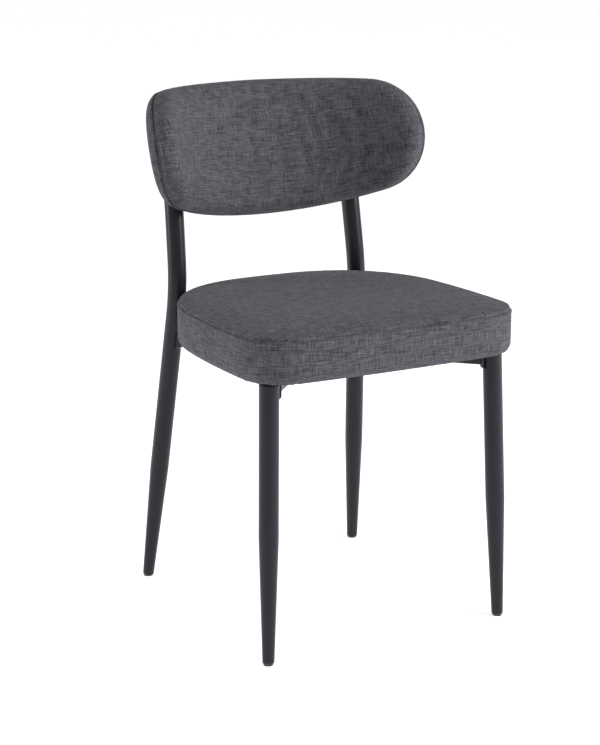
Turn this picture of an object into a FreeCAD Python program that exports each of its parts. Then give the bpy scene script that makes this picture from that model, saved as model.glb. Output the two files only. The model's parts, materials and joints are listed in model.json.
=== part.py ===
import FreeCAD, Part

import math
import os

import Sketcher
from FreeCAD import Base, Placement, Rotation, Vector

# Dining chair. The sitter faces -Y, +X is to the right as the chair is seen from its front, +Z is up,
# and the origin is on the floor under the middle of the chair's outer box. Millimetres and degrees.
#
# A welded steel frame carries two upholstered pieces. Two bent rear legs run on as the back's uprights,
# two straight front legs end under the seat, and a flat cross of square tube joins all four.
# The seat is a boxed cushion on a plywood board; the back is a padded, curved plywood shell.

SIZES = {
    # steel frame
    "tube_radius": (14.3, "outer radius of the leg tube"),
    "tube_wall": (1.2, "wall of the leg tube"),
    "foot_radius": (8.8, "outer radius of the tube at the foot"),
    "taper_length": (185, "length of the cone that narrows to the foot"),
    "front_foot_in": (26.4, "front foot, inside the seat's widest point"),
    "front_foot_y": (-207.1, "front foot, along Y"),
    "front_lean_in": (1.53, "front leg's lean towards the middle"),
    "front_lean_back": (2.08, "front leg's lean towards the rear"),
    "rear_knee_in": (62.37, "rear leg at its first bend, inside the seat's widest point"),
    "rear_knee_gap": (9.62, "rear leg at its first bend, clear of the seat's corner"),
    "rear_lean_in": (3.78, "rear leg's lean towards the middle"),
    "rear_lean_front": (7.35, "rear leg's lean towards the front"),
    "bend_plane_turn": (6.9, "outward turn of the plane in which a rear leg is bent"),
    "knee_below_seat": (40, "rear leg's first bend begins this much lower along it than the seat's height"),
    "knee_radius": (300, "first bend, beside the seat"),
    "knee_angle": (15.85, "turn of the first bend"),
    "upright_straight": (61, "straight run between the bends"),
    "upper_radius": (800, "second bend, behind the back pad"),
    "upper_angle": (9.73, "turn of the second bend"),
    "top_straight": (26, "straight run at the top of an upright"),
    "foot_gap": (5, "height of the tube's end above the floor"),
    "glide_plug": (16, "length of a glide inside its tube"),
    "glide_round": (2, "how far a glide narrows to its sole"),
    "glide_edge": (3, "height over which it narrows"),
    "cap_plug": (14, "length of an end cap inside its tube"),
    "cap_dome": (3, "height of an end cap outside its tube"),
    "cap_shoulder": (1.2, "how far an end cap's rim is rounded"),
    "cap_flat": (5, "edge of an end cap's flat top, from the outside"),
    "weld_gap": (1, "cap of a front leg or top of a saddle to the brace's upper face"),
    # cross brace under the seat
    "bar_side": (20, "outside of the square tube"),
    "bar_wall": (1.5, "wall of the square tube"),
    "bar_round": (2, "outer corner of the square tube"),
    "saddle_wall": (4, "thickness of the plate between a leg and its bar"),
    "saddle_height": (25, "height of that plate"),
    "saddle_span": (110, "part of the leg's round that the plate covers"),
    "saddle_chamfer": (3.5, "bevel at the plate's lower edge"),
    "hub_side": (64, "square plate welded under the crossing"),
    "hub_wall": (2.5, "thickness of that plate"),
    # seat
    "seat_height": (480, "floor to the top of the cushion"),
    "seat_thickness": (69, "cushion, top to underside"),
    "seat_half_width": (223.6, "middle to the widest point"),
    "seat_widest_y": (-120.1, "where the seat is widest"),
    "seat_front_y": (-239.97, "front edge at the middle"),
    "seat_rear_y": (173, "rear edge at the middle"),
    "seat_front_bow": (2846, "radius of the front edge"),
    "seat_side_bow": (1281, "radius of a side edge"),
    "seat_rear_bow": (883, "radius of the rear edge"),
    "seat_front_corner": (67, "radius of a front corner"),
    "seat_rear_share": (0.81, "radius of a rear corner, as a share of the half width"),
    "seat_top_round": (12, "rounding of the top edge"),
    "seat_under_round": (17, "rounding of the lower edge"),
    "seat_seam_drop": (6, "seam of the top panel, below the top"),
    "board_wall": (12, "seat plywood"),
    "hem_width": (45, "cover turned in under the board, from the outside"),
    "dust_inset": (28, "edge of the dust cover inside the cover's outside"),
    "dust_wall": (0.8, "dust cover felt"),
    "staple_pitch": (34, "staple to staple"),
    "staple_crown": (10, "length of a staple's back"),
    "staple_wire": (0.7, "thickness of a staple's back"),
    "staple_width": (1.1, "width of a staple's back"),
    "staple_inset": (6, "staples from the dust cover's edge"),
    "seat_bolt_share": (0.67, "seat bolt from the crossing, as a share of the seat's half width"),
    # back pad: its outline is drawn on a cylinder, as arc length across and height up
    "pad_bend": (253, "radius of the pad's curve at mid thickness"),
    "pad_lean": (18.06, "lean of the pad towards the rear"),
    "upright_gap": (1.0, "pad to upright, where the upright's top run begins"),
    "pad_below_top": (38.5, "pad's reference point, down the pad from where an upright's top run begins"),
    "pad_half_width": (270.5, "middle to the end, along the curve"),
    "pad_rise": (111.5, "top edge above the reference point"),
    "pad_drop": (99.5, "lower edge below the reference point"),
    "pad_top_bow": (843, "radius of the top edge"),
    "pad_low_bow": (1683, "radius of the lower edge"),
    "pad_low_corner": (83, "radius of a lower corner"),
    "pad_thickness": (42.8, "pad, front to rear"),
    "pad_front_round": (18.5, "rounding of the front edge"),
    "pad_rear_round": (15, "rounding of the rear edge"),
    "pad_seam": (8, "seam of the two covers, behind mid thickness"),
    "shell_wall": (9, "back plywood"),
    "shell_inset": (14, "edge of the plywood inside the cover's outside"),
    "batting_wall": (4.5, "wadding between the plywood and the rear cover"),
    "back_bolt_low": (-24, "lower back bolt, up the pad from its reference point"),
    "back_bolt_high": (46, "upper back bolt, up the pad from its reference point"),
    "spacer_radius": (8.5, "spacer between an upright and the pad"),
    # fabric, fasteners and fits
    "cover_wall": (1.5, "lined cover fabric"),
    "play": (0.2, "gap left between neighbouring pieces"),
    "bolt_short": (2, "a bolt's end below the top of its T-nut"),
    "bolt_radius": (2.95, "M6 bolt shank"),
    "bolt_hole": (3.5, "clearance hole for a bolt"),
    "thread_radius": (3.0, "bore of a T-nut"),
    "bolt_head_radius": (5.3, "button head"),
    "bolt_head_height": (3.3, "button head"),
    "bolt_socket": (2.3, "half width of the head's hexagon socket"),
    "washer_radius": (8, "plain washer"),
    "washer_wall": (1.4, "plain washer"),
    "tnut_flange": (9.5, "radius of a T-nut's flange"),
    "tnut_flange_wall": (1.4, "T-nut's flange"),
    "tnut_barrel": (3.8, "radius of a T-nut's barrel"),
    "tnut_length": (8, "T-nut's whole length"),
    "ring_radius": (7, "curved washer on an upright"),
}

SIDES = {"left": -1, "right": 1}
REAR_CORNER = 3  # the right rear corner among the seat outline's arcs
FULL_TURN = 360.0
NEAR = 0.01  # how closely a point must lie on an edge or face to count as on it
CLEAR = 5.0  # how far a cutting shape runs past what it cuts
PATH_POINTS = 2000  # samples along an upright's centre line


class Size:
    """A number that also knows the sheet expression it comes from."""

    def __init__(self, value, text):
        self.value = float(value)
        self.text = text

    def __add__(self, other):
        return joined(self, "+", other)

    def __radd__(self, other):
        return joined(other, "+", self)

    def __sub__(self, other):
        return joined(self, "-", other)

    def __rsub__(self, other):
        return joined(other, "-", self)

    def __mul__(self, other):
        return joined(self, "*", other)

    def __rmul__(self, other):
        return joined(other, "*", self)

    def __truediv__(self, other):
        return joined(self, "/", other)

    def __neg__(self):
        return joined(-1.0, "*", self)

    def __float__(self):
        return self.value


def as_size(number):
    return number if isinstance(number, Size) else Size(number, f"({number})")


def joined(first, sign, second):
    """Combine two sizes, in value and in expression."""
    a, b = as_size(first), as_size(second)
    values = {
        "+": a.value + b.value,
        "-": a.value - b.value,
        "*": a.value * b.value,
        "/": a.value / b.value if b.value else 0.0,
    }
    return Size(values[sign], f"({a.text} {sign} {b.text})")


class Sheet:
    """The chair's sizes, each read by name."""

    def __init__(self, doc):
        self.cells = doc.addObject("Spreadsheet::Sheet", "Sizes")
        for row, (name, (value, note)) in enumerate(SIZES.items(), start=1):
            self.cells.set(f"A{row}", name)
            self.cells.set(f"B{row}", str(value))
            self.cells.set(f"C{row}", note)
            self.cells.setAlias(f"B{row}", name)
        doc.recompute()

    def __getattr__(self, name):
        return Size(self.cells.get(name), f"Sizes.{name}")


doc = FreeCAD.newDocument("dining_chair")
size = Sheet(doc)
exported = []


# ---------------------------------------------------------------- drawing helpers


def keep(piece, name):
    """Give a finished sub-part its name and list it for export."""
    piece.Label = name
    exported.append(piece)
    return piece


def bind(target, **sizes):
    """Bind properties of an object to sizes."""
    for name, value in sizes.items():
        setattr(target, name, float(value))
        target.setExpression(name, as_size(value).text)


def new_body(name):
    return doc.addObject("PartDesign::Body", f"{name}_body")


def new_sketch(body, name, plane="XY_Plane"):
    """A sketch on one of the body's own origin planes."""
    sketch = body.newObject("Sketcher::SketchObject", name)
    origin_plane = next(f for f in body.Origin.OriginFeatures if f.Role == plane)
    sketch.AttachmentSupport = [(origin_plane, "")]
    sketch.MapMode = "FlatFace"
    return sketch


def constrain(sketch, label, *values):
    """Add a sizing constraint bound to a size, the last of the values."""
    *where, wanted = values
    wanted = as_size(wanted)
    drawn = math.radians(wanted.value) if where[0] == "Angle" else wanted.value
    index = sketch.addConstraint(Sketcher.Constraint(*where, drawn))
    sketch.renameConstraint(index, label)
    sketch.setExpression(f"Constraints.{label}", wanted.text)


def pin_point(sketch, label, geometry, end, x, y):
    """Hold a point at x, y from the sketch's origin."""
    for kind, value in (("DistanceX", as_size(x)), ("DistanceY", as_size(y))):
        name = f"{label}_{kind[-1].lower()}"
        if value.value < 0:
            constrain(sketch, name, kind, geometry, end, -1, 1, -value)
        else:
            constrain(sketch, name, kind, -1, 1, geometry, end, value)


def polygon(sketch, corners, label="corner"):
    """A closed polygon whose corners are pairs of sizes."""
    points = [Vector(float(x), float(y), 0) for x, y in corners]
    count = len(points)
    lines = [Part.LineSegment(points[i], points[(i + 1) % count]) for i in range(count)]
    first = sketch.addGeometry(lines, False)[0]
    for i in range(count):
        sketch.addConstraint(Sketcher.Constraint("Coincident", first + i, 2, first + (i + 1) % count, 1))
        pin_point(sketch, f"{label}_{i}", first + i, 1, *corners[i])


def square(sketch, half, label="corner"):
    """A square about the sketch's origin."""
    polygon(sketch, [(-half, -half), (half, -half), (half, half), (-half, half)], label)


def circle(sketch, label, radius, x=0.0, y=0.0):
    centre = Vector(float(x), float(y), 0)
    index = sketch.addGeometry(Part.Circle(centre, Vector(0, 0, 1), float(radius)), False)
    pin_point(sketch, label, index, 3, x, y)
    constrain(sketch, f"{label}_radius", "Radius", index, radius)


def turned(body, name, corners):
    """Turn a half section, given as radius and height, about the body's Z axis."""
    sketch = new_sketch(body, f"{name}_section", "XZ_Plane")
    polygon(sketch, corners)
    turn = body.newObject("PartDesign::Revolution", name)
    turn.Profile = sketch
    turn.ReferenceAxis = (sketch, ["V_Axis"])
    turn.Angle = FULL_TURN
    return turn


def padded(body, name, sketch, length, offset=0.0):
    """Pad a sketch on the XY plane upwards from a height."""
    pad = body.newObject("PartDesign::Pad", name)
    pad.Profile = sketch
    bind(pad, Length=length)
    sketch.AttachmentOffset = Placement(Vector(0, 0, float(offset)), Rotation())
    sketch.setExpression("AttachmentOffset.Base.z", as_size(offset).text)
    return pad


def drilled(body, name, radius, place, depth):
    """Cut a round hole centred on a placement, along its Z axis."""
    hole = body.newObject("PartDesign::SubtractiveCylinder", name)
    bind(hole, Radius=radius)
    hole.Height = depth
    hole.Placement = place.multiply(Placement(Vector(0, 0, -depth / 2), Rotation()))
    return hole


def edges_where(shape, test):
    """Names of the edges that pass a test."""
    return [f"Edge{i}" for i, edge in enumerate(shape.Edges, start=1) if test(edge)]


def lies_at_height(edge, height):
    return all(abs(vertex.Z - height) < NEAR for vertex in edge.Vertexes)


def runs_along_x(edge):
    start, end = edge.Vertexes[0], edge.Vertexes[-1]
    return abs(start.X - end.X) > NEAR


def dressed(body, kind, name, base, edge_names, amount):
    """Fillet or chamfer some edges of the body's last feature."""
    feature = body.newObject(f"PartDesign::{kind}", name)
    feature.Base = (base, edge_names)
    bind(feature, **{"Radius" if kind == "Fillet" else "Size": amount})
    return feature


def facing(z_axis, x_hint):
    """The rotation whose Z axis is given and whose X axis is nearest the hint."""
    z_axis = Vector(z_axis).normalize()
    x_axis = (x_hint - z_axis * x_hint.dot(z_axis)).normalize()
    return Rotation(x_axis, z_axis.cross(x_axis), z_axis, "ZXY")


def boolean(kind, name, base, tool):
    """A Part::Cut or Part::Common of two objects."""
    feature = doc.addObject(f"Part::{kind}", name)
    feature.Base = base
    feature.Tool = tool
    return feature


def copies(name, master, places):
    """One node of identical pieces: a master's shape at each placement."""
    doc.recompute()
    shapes = []
    for place in places:
        shape = master.Shape.copy()
        shape.Placement = place.multiply(shape.Placement)
        shapes.append(shape)
    group = doc.addObject("Part::Feature", f"{name}_group")
    group.Shape = Part.makeCompound(shapes)
    return keep(group, name)


# ---------------------------------------------------------------- legs


def leg_axis(lean_in, lean_along_y, side):
    """Unit vector up a leg, from its two leans."""
    up = Vector(-side * math.tan(math.radians(lean_in)), math.tan(math.radians(lean_along_y)), 1)
    return up.normalize()


def front_place(side):
    across = size.seat_half_width - size.front_foot_in
    foot = Vector(side * float(across), float(size.front_foot_y), 0)
    axis = leg_axis(float(size.front_lean_in), float(size.front_lean_back), side)
    return Placement(foot, facing(axis, Vector(0, 1, 0)))


def rear_place(side):
    """A rear leg's frame at its foot, found from where the leg passes the seat's rear corner.

    The leg is bent in its own XZ plane, with +X towards the rear.
    """
    centre, corner = seat_arcs()[REAR_CORNER]
    across = float(size.seat_half_width - size.rear_knee_in)
    away = float(corner + size.rear_knee_gap + size.tube_radius)
    knee_y = centre.y + math.sqrt(away**2 - (across - centre.x)**2)
    axis = leg_axis(float(size.rear_lean_in), -float(size.rear_lean_front), side)
    knee = Vector(side * across, knee_y, axis.z * float(leg_straight()))
    foot = knee - axis * float(leg_straight())
    outward = side * math.tan(math.radians(float(size.bend_plane_turn)))
    return Placement(foot, facing(axis, Vector(outward, 1, 0)))


def tapered_tube(body, length):
    """A hollow round tube, narrowed to the foot over its lowest part."""
    wall = size.tube_wall
    foot, full = size.foot_radius, size.tube_radius
    low, cone_top = size.foot_gap, size.taper_length
    return turned(body, "tube", [
        (foot - wall, low), (foot, low), (full, cone_top), (full, length),
        (full - wall, length), (full - wall, cone_top),
    ])


def leg_straight():
    """Along a rear leg, from the foot to its first bend."""
    return size.seat_height - size.knee_below_seat


def rear_path():
    """The bent part of a rear leg in its own plane: straight runs and arcs as (kind, geometry)."""
    point, heading = Vector(0, float(leg_straight()), 0), 0.0
    path = []
    runs = [
        (float(size.knee_radius), float(size.knee_angle), float(size.upright_straight)),
        (float(size.upper_radius), float(size.upper_angle), float(size.top_straight)),
    ]
    for radius, angle, straight in runs:
        centre = point + Vector(math.cos(heading), -math.sin(heading), 0) * radius
        start = math.pi - heading
        heading += math.radians(angle)
        arc = Part.ArcOfCircle(Part.Circle(centre, Vector(0, 0, 1), radius), math.pi - heading, start)
        point = arc.StartPoint
        end = point + Vector(math.sin(heading), math.cos(heading), 0) * straight
        path += [arc, Part.LineSegment(point, end)]
        point = end
    return path


def bent_tube(body):
    """The rest of a rear leg: a ring swept along two bends and two straight runs."""
    spine = new_sketch(body, "spine", "XZ_Plane")
    spine.addGeometry(rear_path(), False)
    knee, upright, upper, top = range(4)
    end, start = 1, 2
    for arc, line in ((knee, upright), (upper, top)):
        spine.addConstraint(Sketcher.Constraint("Tangent", arc, end, line, 1))
    spine.addConstraint(Sketcher.Constraint("Tangent", upright, 2, upper, start))
    pin_point(spine, "spine_start", knee, start, 0.0, leg_straight())
    constrain(spine, "knee_centre", "DistanceY", -1, 1, knee, 3, leg_straight())
    constrain(spine, "knee_radius", "Radius", knee, size.knee_radius)
    constrain(spine, "upright_slope", "Angle", upright, 90.0 - size.knee_angle)
    constrain(spine, "upright_length", "Distance", upright, size.upright_straight)
    constrain(spine, "upper_radius", "Radius", upper, size.upper_radius)
    constrain(spine, "top_slope", "Angle", top, 90.0 - size.knee_angle - size.upper_angle)
    constrain(spine, "top_length", "Distance", top, size.top_straight)

    ring = new_sketch(body, "ring")
    circle(ring, "outside", size.tube_radius)
    circle(ring, "bore", size.tube_radius - size.tube_wall)
    ring.AttachmentOffset = Placement(Vector(0, 0, float(leg_straight())), Rotation())
    ring.setExpression("AttachmentOffset.Base.z", leg_straight().text)

    pipe = body.newObject("PartDesign::AdditivePipe", "bends")
    pipe.Profile = ring
    pipe.Spine = (spine, [])
    return pipe


def path_in_chair(side):
    """The bent part's centre line, in the chair's frame."""
    upright = Placement(Vector(0, 0, 0), Rotation(Vector(1, 0, 0), 90))
    wire = Part.Wire([piece.toShape() for piece in rear_path()])
    wire.Placement = rear_place(side).multiply(upright)
    return wire


def build_front_leg(name, side):
    body = new_body(f"front_leg_{name}")
    tapered_tube(body, front_leg_length())
    body.Placement = front_place(side)
    return keep(body, f"front_leg_{name}")


def front_leg_length():
    """Along the leg, from the floor to just under the seat's dust cover."""
    lean_in, lean_back = (math.radians(float(angle)) for angle in (size.front_lean_in, size.front_lean_back))
    lean = math.cos(lean_in) * math.cos(lean_back)
    return (bar_top() - size.cap_dome - size.weld_gap) / lean


def build_rear_leg(name, side):
    body = new_body(f"rear_leg_{name}")
    tapered_tube(body, leg_straight())
    bent_tube(body)
    place = rear_place(side)
    for label, bolt in back_bolt_axes(side):
        inside = place.inverse().multiply(bolt)
        drilled(body, f"{label}_hole", size.bolt_hole, inside, 4 * float(size.tube_radius))
    body.Placement = place
    return keep(body, f"rear_leg_{name}")


def build_glide(name, place):
    """A plastic foot: a plug in the tube and a flat-bottomed tip, level with the floor."""
    body = new_body(f"glide_{name}")
    foot, bore = size.foot_radius, size.foot_radius - size.tube_wall - size.play
    low, play = size.foot_gap, size.play
    turned(body, "glide", [
        (0.0, -CLEAR), (foot - size.glide_round, -CLEAR),
        (foot - size.glide_round, low - size.glide_edge - 1.0),
        (foot - size.glide_round / 4, low - size.glide_edge / 2), (foot, low - play), (bore, low - play),
        (bore, low + size.glide_plug), (0.0, low + size.glide_plug),
    ])
    cut = body.newObject("PartDesign::SubtractiveBox", "floor_cut")
    side = 4 * float(foot)
    cut.Length = cut.Width = cut.Height = side
    ground = Placement(place.Base - Vector(side / 2, side / 2, side), Rotation())
    cut.Placement = place.inverse().multiply(ground)
    body.Placement = place
    return keep(body, f"glide_{name}")


def build_cap(name, place):
    """A domed plastic plug; its Z axis leaves the tube and its origin is at the tube's end."""
    body = new_body(name)
    bore = size.tube_radius - size.tube_wall - size.play
    play, dome = size.play, size.cap_dome
    turned(body, "cap", [
        (0.0, -size.cap_plug), (bore, -size.cap_plug), (bore, play), (size.tube_radius, play),
        (size.tube_radius - size.cap_shoulder, dome * 0.7),
        (size.tube_radius - size.cap_flat, dome), (0.0, dome),
    ])
    body.Placement = place
    return keep(body, name)


# ---------------------------------------------------------------- cross brace


def bar_top():
    """Upper face of the brace: just under the dust cover."""
    return size.seat_height - size.seat_thickness - size.dust_wall - size.play


def bar_middle():
    return bar_top() - size.bar_side / 2


def point_at_height(place, height):
    """Where a leg's axis passes a height."""
    axis = place.Rotation.multVec(Vector(0, 0, 1))
    return place.Base + axis * (height / axis.z)


def crossing():
    """Where the two diagonals meet."""
    height = float(bar_middle())
    front = point_at_height(front_place(1), height)
    rear = point_at_height(rear_place(1), height)
    share = front.x / (front.x + rear.x)
    return Vector(0, front.y + (rear.y - front.y) * share, height)


def square_tube(body, start, end):
    """A hollow square tube along the body's X axis."""
    sketch = new_sketch(body, "section", "YZ_Plane")
    for label, half in (("outside", size.bar_side / 2), ("inside", size.bar_side / 2 - size.bar_wall)):
        square(sketch, half, label)
    pad = body.newObject("PartDesign::Pad", "tube")
    pad.Profile = sketch
    pad.Length = end - start
    sketch.AttachmentOffset = Placement(Vector(0, 0, start), Rotation())
    doc.recompute()
    half = float(size.bar_side) / 2
    ridges = edges_where(pad.Shape, lambda e: runs_along_x(e) and all(
        abs(abs(v.Y) - half) < NEAR and abs(abs(v.Z) - half) < NEAR for v in e.Vertexes))
    return dressed(body, "Fillet", "corners", pad, ridges, size.bar_round)


def bar_place(front, rear):
    """A bar's frame: origin at the crossing, X from the front leg towards the rear one."""
    return Placement(crossing(), facing(Vector(0, 0, 1), rear - front))


def build_bar(name, legs, start, end):
    """A bar of the cross, coped at each leg that it reaches."""
    body = new_body(name)
    height = float(bar_middle())
    front = point_at_height(legs[0], height)
    rear = point_at_height(legs[1], height)
    place = bar_place(front, rear)
    square_tube(body, start, end)
    reach = size.tube_radius + size.saddle_wall + size.play
    inverse = place.inverse()
    for label, leg in zip(("front_cope", "rear_cope"), legs):
        middle = inverse.multiply(Placement(point_at_height(leg, height), leg.Rotation))
        if start - CLEAR < middle.Base.x < end + CLEAR:
            drilled(body, label, reach, middle, 4 * float(size.bar_side))
    for label, bolt in seat_bolt_axes():
        inside = inverse.multiply(bolt)
        if abs(inside.Base.y) < NEAR and start < inside.Base.x < end:
            drilled(body, f"{label}_hole", size.bolt_hole, inside, 2 * float(size.bar_side))
    body.Placement = place
    return keep(body, name)


def butt_reach(stub_run, long_run):
    """From the crossing to a shorter bar's square end, whose corners just clear the long bar's side."""
    turn = stub_run.getAngle(long_run)
    return float(size.bar_side) / 2 * (1 + abs(math.cos(turn))) / math.sin(turn) + float(size.play)


def build_brace():
    """One bar runs right across; two shorter ones butt against its sides."""
    height = float(bar_middle())
    centre = crossing()
    front_run, rear_run = (point_at_height(place, height) - centre for place in (front_place(1), rear_place(1)))
    front, rear = front_run.Length, rear_run.Length
    build_bar("cross_bar_long", (front_place(-1), rear_place(1)), -front, rear)
    stub_legs = (front_place(1), rear_place(-1))
    butt = butt_reach(front_run, rear_run)
    build_bar("cross_bar_front", stub_legs, -front, -butt)
    build_bar("cross_bar_rear", stub_legs, butt, rear)

    body = new_body("hub_plate")
    sketch = new_sketch(body, "square")
    square(sketch, size.hub_side / 2)
    padded(body, "plate", sketch, size.hub_wall)
    below = centre.z - float(size.bar_side) / 2 - float(size.hub_wall) - float(size.play) / 2
    body.Placement = Placement(Vector(0, centre.y, below), Rotation(Vector(0, 0, 1), 45))
    keep(body, "hub_plate")


def build_saddle(name, leg):
    """A curved plate welded between a leg and the end of its bar."""
    body = new_body(f"saddle_{name}")
    sketch = new_sketch(body, "section")
    inner, outer = size.tube_radius + size.play, size.tube_radius + size.saddle_wall
    half = math.radians(float(size.saddle_span)) / 2
    origin, up = Vector(0, 0, 0), Vector(0, 0, 1)
    arcs = [Part.ArcOfCircle(Part.Circle(origin, up, float(r)), -half, half) for r in (inner, outer)]
    caps = [Part.LineSegment(arcs[0].EndPoint, arcs[1].EndPoint),
            Part.LineSegment(arcs[1].StartPoint, arcs[0].StartPoint)]
    sketch.addGeometry(arcs + caps, False)
    for arc in (0, 1):
        sketch.addConstraint(Sketcher.Constraint("Coincident", arc, 3, -1, 1))
    for first, end, second, other in ((0, 2, 2, 1), (2, 2, 1, 2), (1, 1, 3, 1), (3, 2, 0, 1)):
        sketch.addConstraint(Sketcher.Constraint("Coincident", first, end, second, other))
    constrain(sketch, "inner_radius", "Radius", 0, inner)
    constrain(sketch, "outer_radius", "Radius", 1, outer)
    for cap in (2, 3):
        sketch.addConstraint(Sketcher.Constraint("PointOnObject", -1, 1, cap))
    sketch.addConstraint(Sketcher.Constraint("Symmetric", 0, 1, 0, 2, -1))
    constrain(sketch, "half_span", "Angle", -1, 1, 2, 1, size.saddle_span / 2)
    pad = padded(body, "plate", sketch, size.saddle_height)
    doc.recompute()
    lower = edges_where(pad.Shape, lambda e: lies_at_height(e, 0) and len(e.Vertexes) == 2 and all(
        abs(math.hypot(v.X, v.Y) - float(outer)) < NEAR for v in e.Vertexes))
    dressed(body, "Chamfer", "bevel", pad, lower, size.saddle_chamfer)
    top = point_at_height(leg, float(bar_top() - size.weld_gap))
    to_centre = crossing() - top
    axis = leg.Rotation.multVec(Vector(0, 0, 1))
    body.Placement = Placement(top - axis * float(size.saddle_height), facing(axis, to_centre))
    return keep(body, f"saddle_{name}")


# ---------------------------------------------------------------- seat


def tangent_centre(centre_a, reach_a, centre_b, reach_b):
    """The point at two given distances from two centres, on the +X side."""
    gap = centre_b - centre_a
    along = (reach_a**2 - reach_b**2 + gap.Length**2) / (2 * gap.Length)
    aside = math.sqrt(reach_a**2 - along**2)
    unit = Vector(gap).normalize()
    across = Vector(-unit.y, unit.x, 0) * aside
    foot = centre_a + unit * along
    return max(foot + across, foot - across, key=lambda p: p.x)


def seat_rear_corner():
    return size.seat_half_width * size.seat_rear_share


def seat_arcs():
    """The seat's outline: eight tangent arcs as (centre, radius), counter-clockwise from the front."""
    front = Vector(0, float(size.seat_front_y + size.seat_front_bow), 0)
    side = Vector(float(size.seat_half_width - size.seat_side_bow), float(size.seat_widest_y), 0)
    rear = Vector(0, float(size.seat_rear_y - size.seat_rear_bow), 0)
    side_bow = float(size.seat_side_bow)
    near, far = float(size.seat_front_corner), float(seat_rear_corner())
    front_corner = tangent_centre(front, float(size.seat_front_bow) - near, side, side_bow - near)
    rear_corner = tangent_centre(side, side_bow - far, rear, float(size.seat_rear_bow) - far)
    right = [(front_corner, size.seat_front_corner), (side, size.seat_side_bow),
             (rear_corner, seat_rear_corner())]
    left = [(Vector(-centre.x, centre.y, 0), radius) for centre, radius in reversed(right)]
    return [(front, size.seat_front_bow)] + right + [(rear, size.seat_rear_bow)] + left


def seat_outline(sketch, inset):
    """Draw the seat's outline, moved inwards; the arcs keep their centres."""
    arcs = seat_arcs()
    count = len(arcs)
    angles = []
    for i in range(count):
        centre, radius = arcs[i]
        following, next_radius = arcs[(i + 1) % count]
        away = centre - following if float(next_radius) > float(radius) else following - centre
        angles.append(math.atan2(away.y, away.x))
    for i, (centre, radius) in enumerate(arcs):
        start, end = angles[i - 1], angles[i]
        if end < start:
            end += 2 * math.pi
        drawn = Part.Circle(centre, Vector(0, 0, 1), float(radius - inset))
        sketch.addGeometry(Part.ArcOfCircle(drawn, start, end), False)
    for i in range(count):
        sketch.addConstraint(Sketcher.Constraint("Tangent", i, 2, (i + 1) % count, 1))
        constrain(sketch, f"radius_{i}", "Radius", i, arcs[i][1] - inset)
    pin_point(sketch, "front_centre", 0, 3, 0.0, size.seat_front_y + size.seat_front_bow)
    pin_point(sketch, "rear_centre", 4, 3, 0.0, size.seat_rear_y - size.seat_rear_bow)
    for index, sign in ((2, 1.0), (6, -1.0)):
        across = (size.seat_half_width - size.seat_side_bow) * sign
        pin_point(sketch, f"side_centre_{index}", index, 3, across, size.seat_widest_y)


def seat_block(name, inset, low, high, top_round=None, under_round=None):
    """A slab in the seat's outline, with its upper and lower edges rounded."""
    body = new_body(name)
    sketch = new_sketch(body, "outline")
    seat_outline(sketch, inset)
    feature = padded(body, "slab", sketch, high - low, low)
    for label, height, radius in (("top", high, top_round), ("under", low, under_round)):
        if radius is None:
            continue
        doc.recompute()
        rim = edges_where(feature.Shape, lambda e: lies_at_height(e, float(height)))
        feature = dressed(body, "Fillet", f"{label}_round", feature, rim, radius)
    return body


def seat_bolt_axes():
    """Placement of each seat bolt: at the bar's middle height, Z up."""
    centre = crossing()
    height = float(bar_middle())
    found = []
    for row, legs in (("front", front_place), ("rear", rear_place)):
        for name, side in SIDES.items():
            towards = (point_at_height(legs(side), height) - centre).normalize()
            point = centre + towards * float(size.seat_half_width * size.seat_bolt_share)
            found.append((f"{row}_{name}", Placement(point, Rotation())))
    return found


def under_seat():
    return size.seat_height - size.seat_thickness


def board_low():
    return under_seat() + size.cover_wall + size.play


def board_inset():
    """The board ends where the cover's lower edge starts to round."""
    return size.seat_under_round + size.play


def build_cover():
    """The seat's cover: a top panel and a side band, sewn together near the top edge."""
    wall, top, low = size.cover_wall, size.seat_height, under_seat()
    outside = seat_block("cover_outside", 0.0, low, top, size.seat_top_round, size.seat_under_round)
    inside = seat_block("cover_inside", wall, low + wall, top - wall,
                        size.seat_top_round - wall, size.seat_under_round - wall)
    hollow = boolean("Cut", "cover_hollow", outside, inside)
    opening = seat_block("cover_opening", size.hem_width, low - CLEAR, low + wall + CLEAR)
    cover = boolean("Cut", "cover_whole", hollow, opening)
    seam = top - size.seat_seam_drop
    slab = doc.addObject("Part::Box", "above_seam")
    width = (size.seat_half_width + CLEAR) * 2
    depth = size.seat_rear_y - size.seat_front_y + CLEAR * 2
    bind(slab, Length=width, Width=depth, Height=size.seat_seam_drop + CLEAR)
    corner = Vector(-float(width) / 2, float(size.seat_front_y) - CLEAR, float(seam))
    slab.Placement = Placement(corner, Rotation())
    keep(boolean("Common", "top_panel", cover, slab), "seat_cover_top")
    keep(boolean("Cut", "side_band", cover, slab), "seat_cover_band")


def build_foam():
    """The cushion's foam: it fills the cover and wraps the board's edge."""
    wall, play = size.cover_wall + size.play, size.play
    block = seat_block("foam_block", wall, under_seat() + wall, size.seat_height - wall,
                       size.seat_top_round - wall, size.seat_under_round - wall)
    room = seat_block("board_room", board_inset() - play, under_seat() - CLEAR,
                      board_low() + size.board_wall + play)
    keep(boolean("Cut", "foam", block, room), "seat_foam")


def build_board():
    """The plywood board, with a hole and a flush recess for each T-nut."""
    body = new_body("seat_board")
    sketch = new_sketch(body, "outline")
    seat_outline(sketch, board_inset())
    padded(body, "plywood", sketch, size.board_wall, board_low())
    top = float(board_low() + size.board_wall)
    for label, bolt in seat_bolt_axes():
        middle = Placement(Vector(bolt.Base.x, bolt.Base.y, top), Rotation())
        drilled(body, f"{label}_hole", size.tnut_barrel + size.play, middle, 4 * float(size.board_wall))
        drilled(body, f"{label}_recess", size.tnut_flange + size.play, middle,
                2 * float(size.tnut_flange_wall + size.play))
    keep(body, "seat_board")


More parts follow.
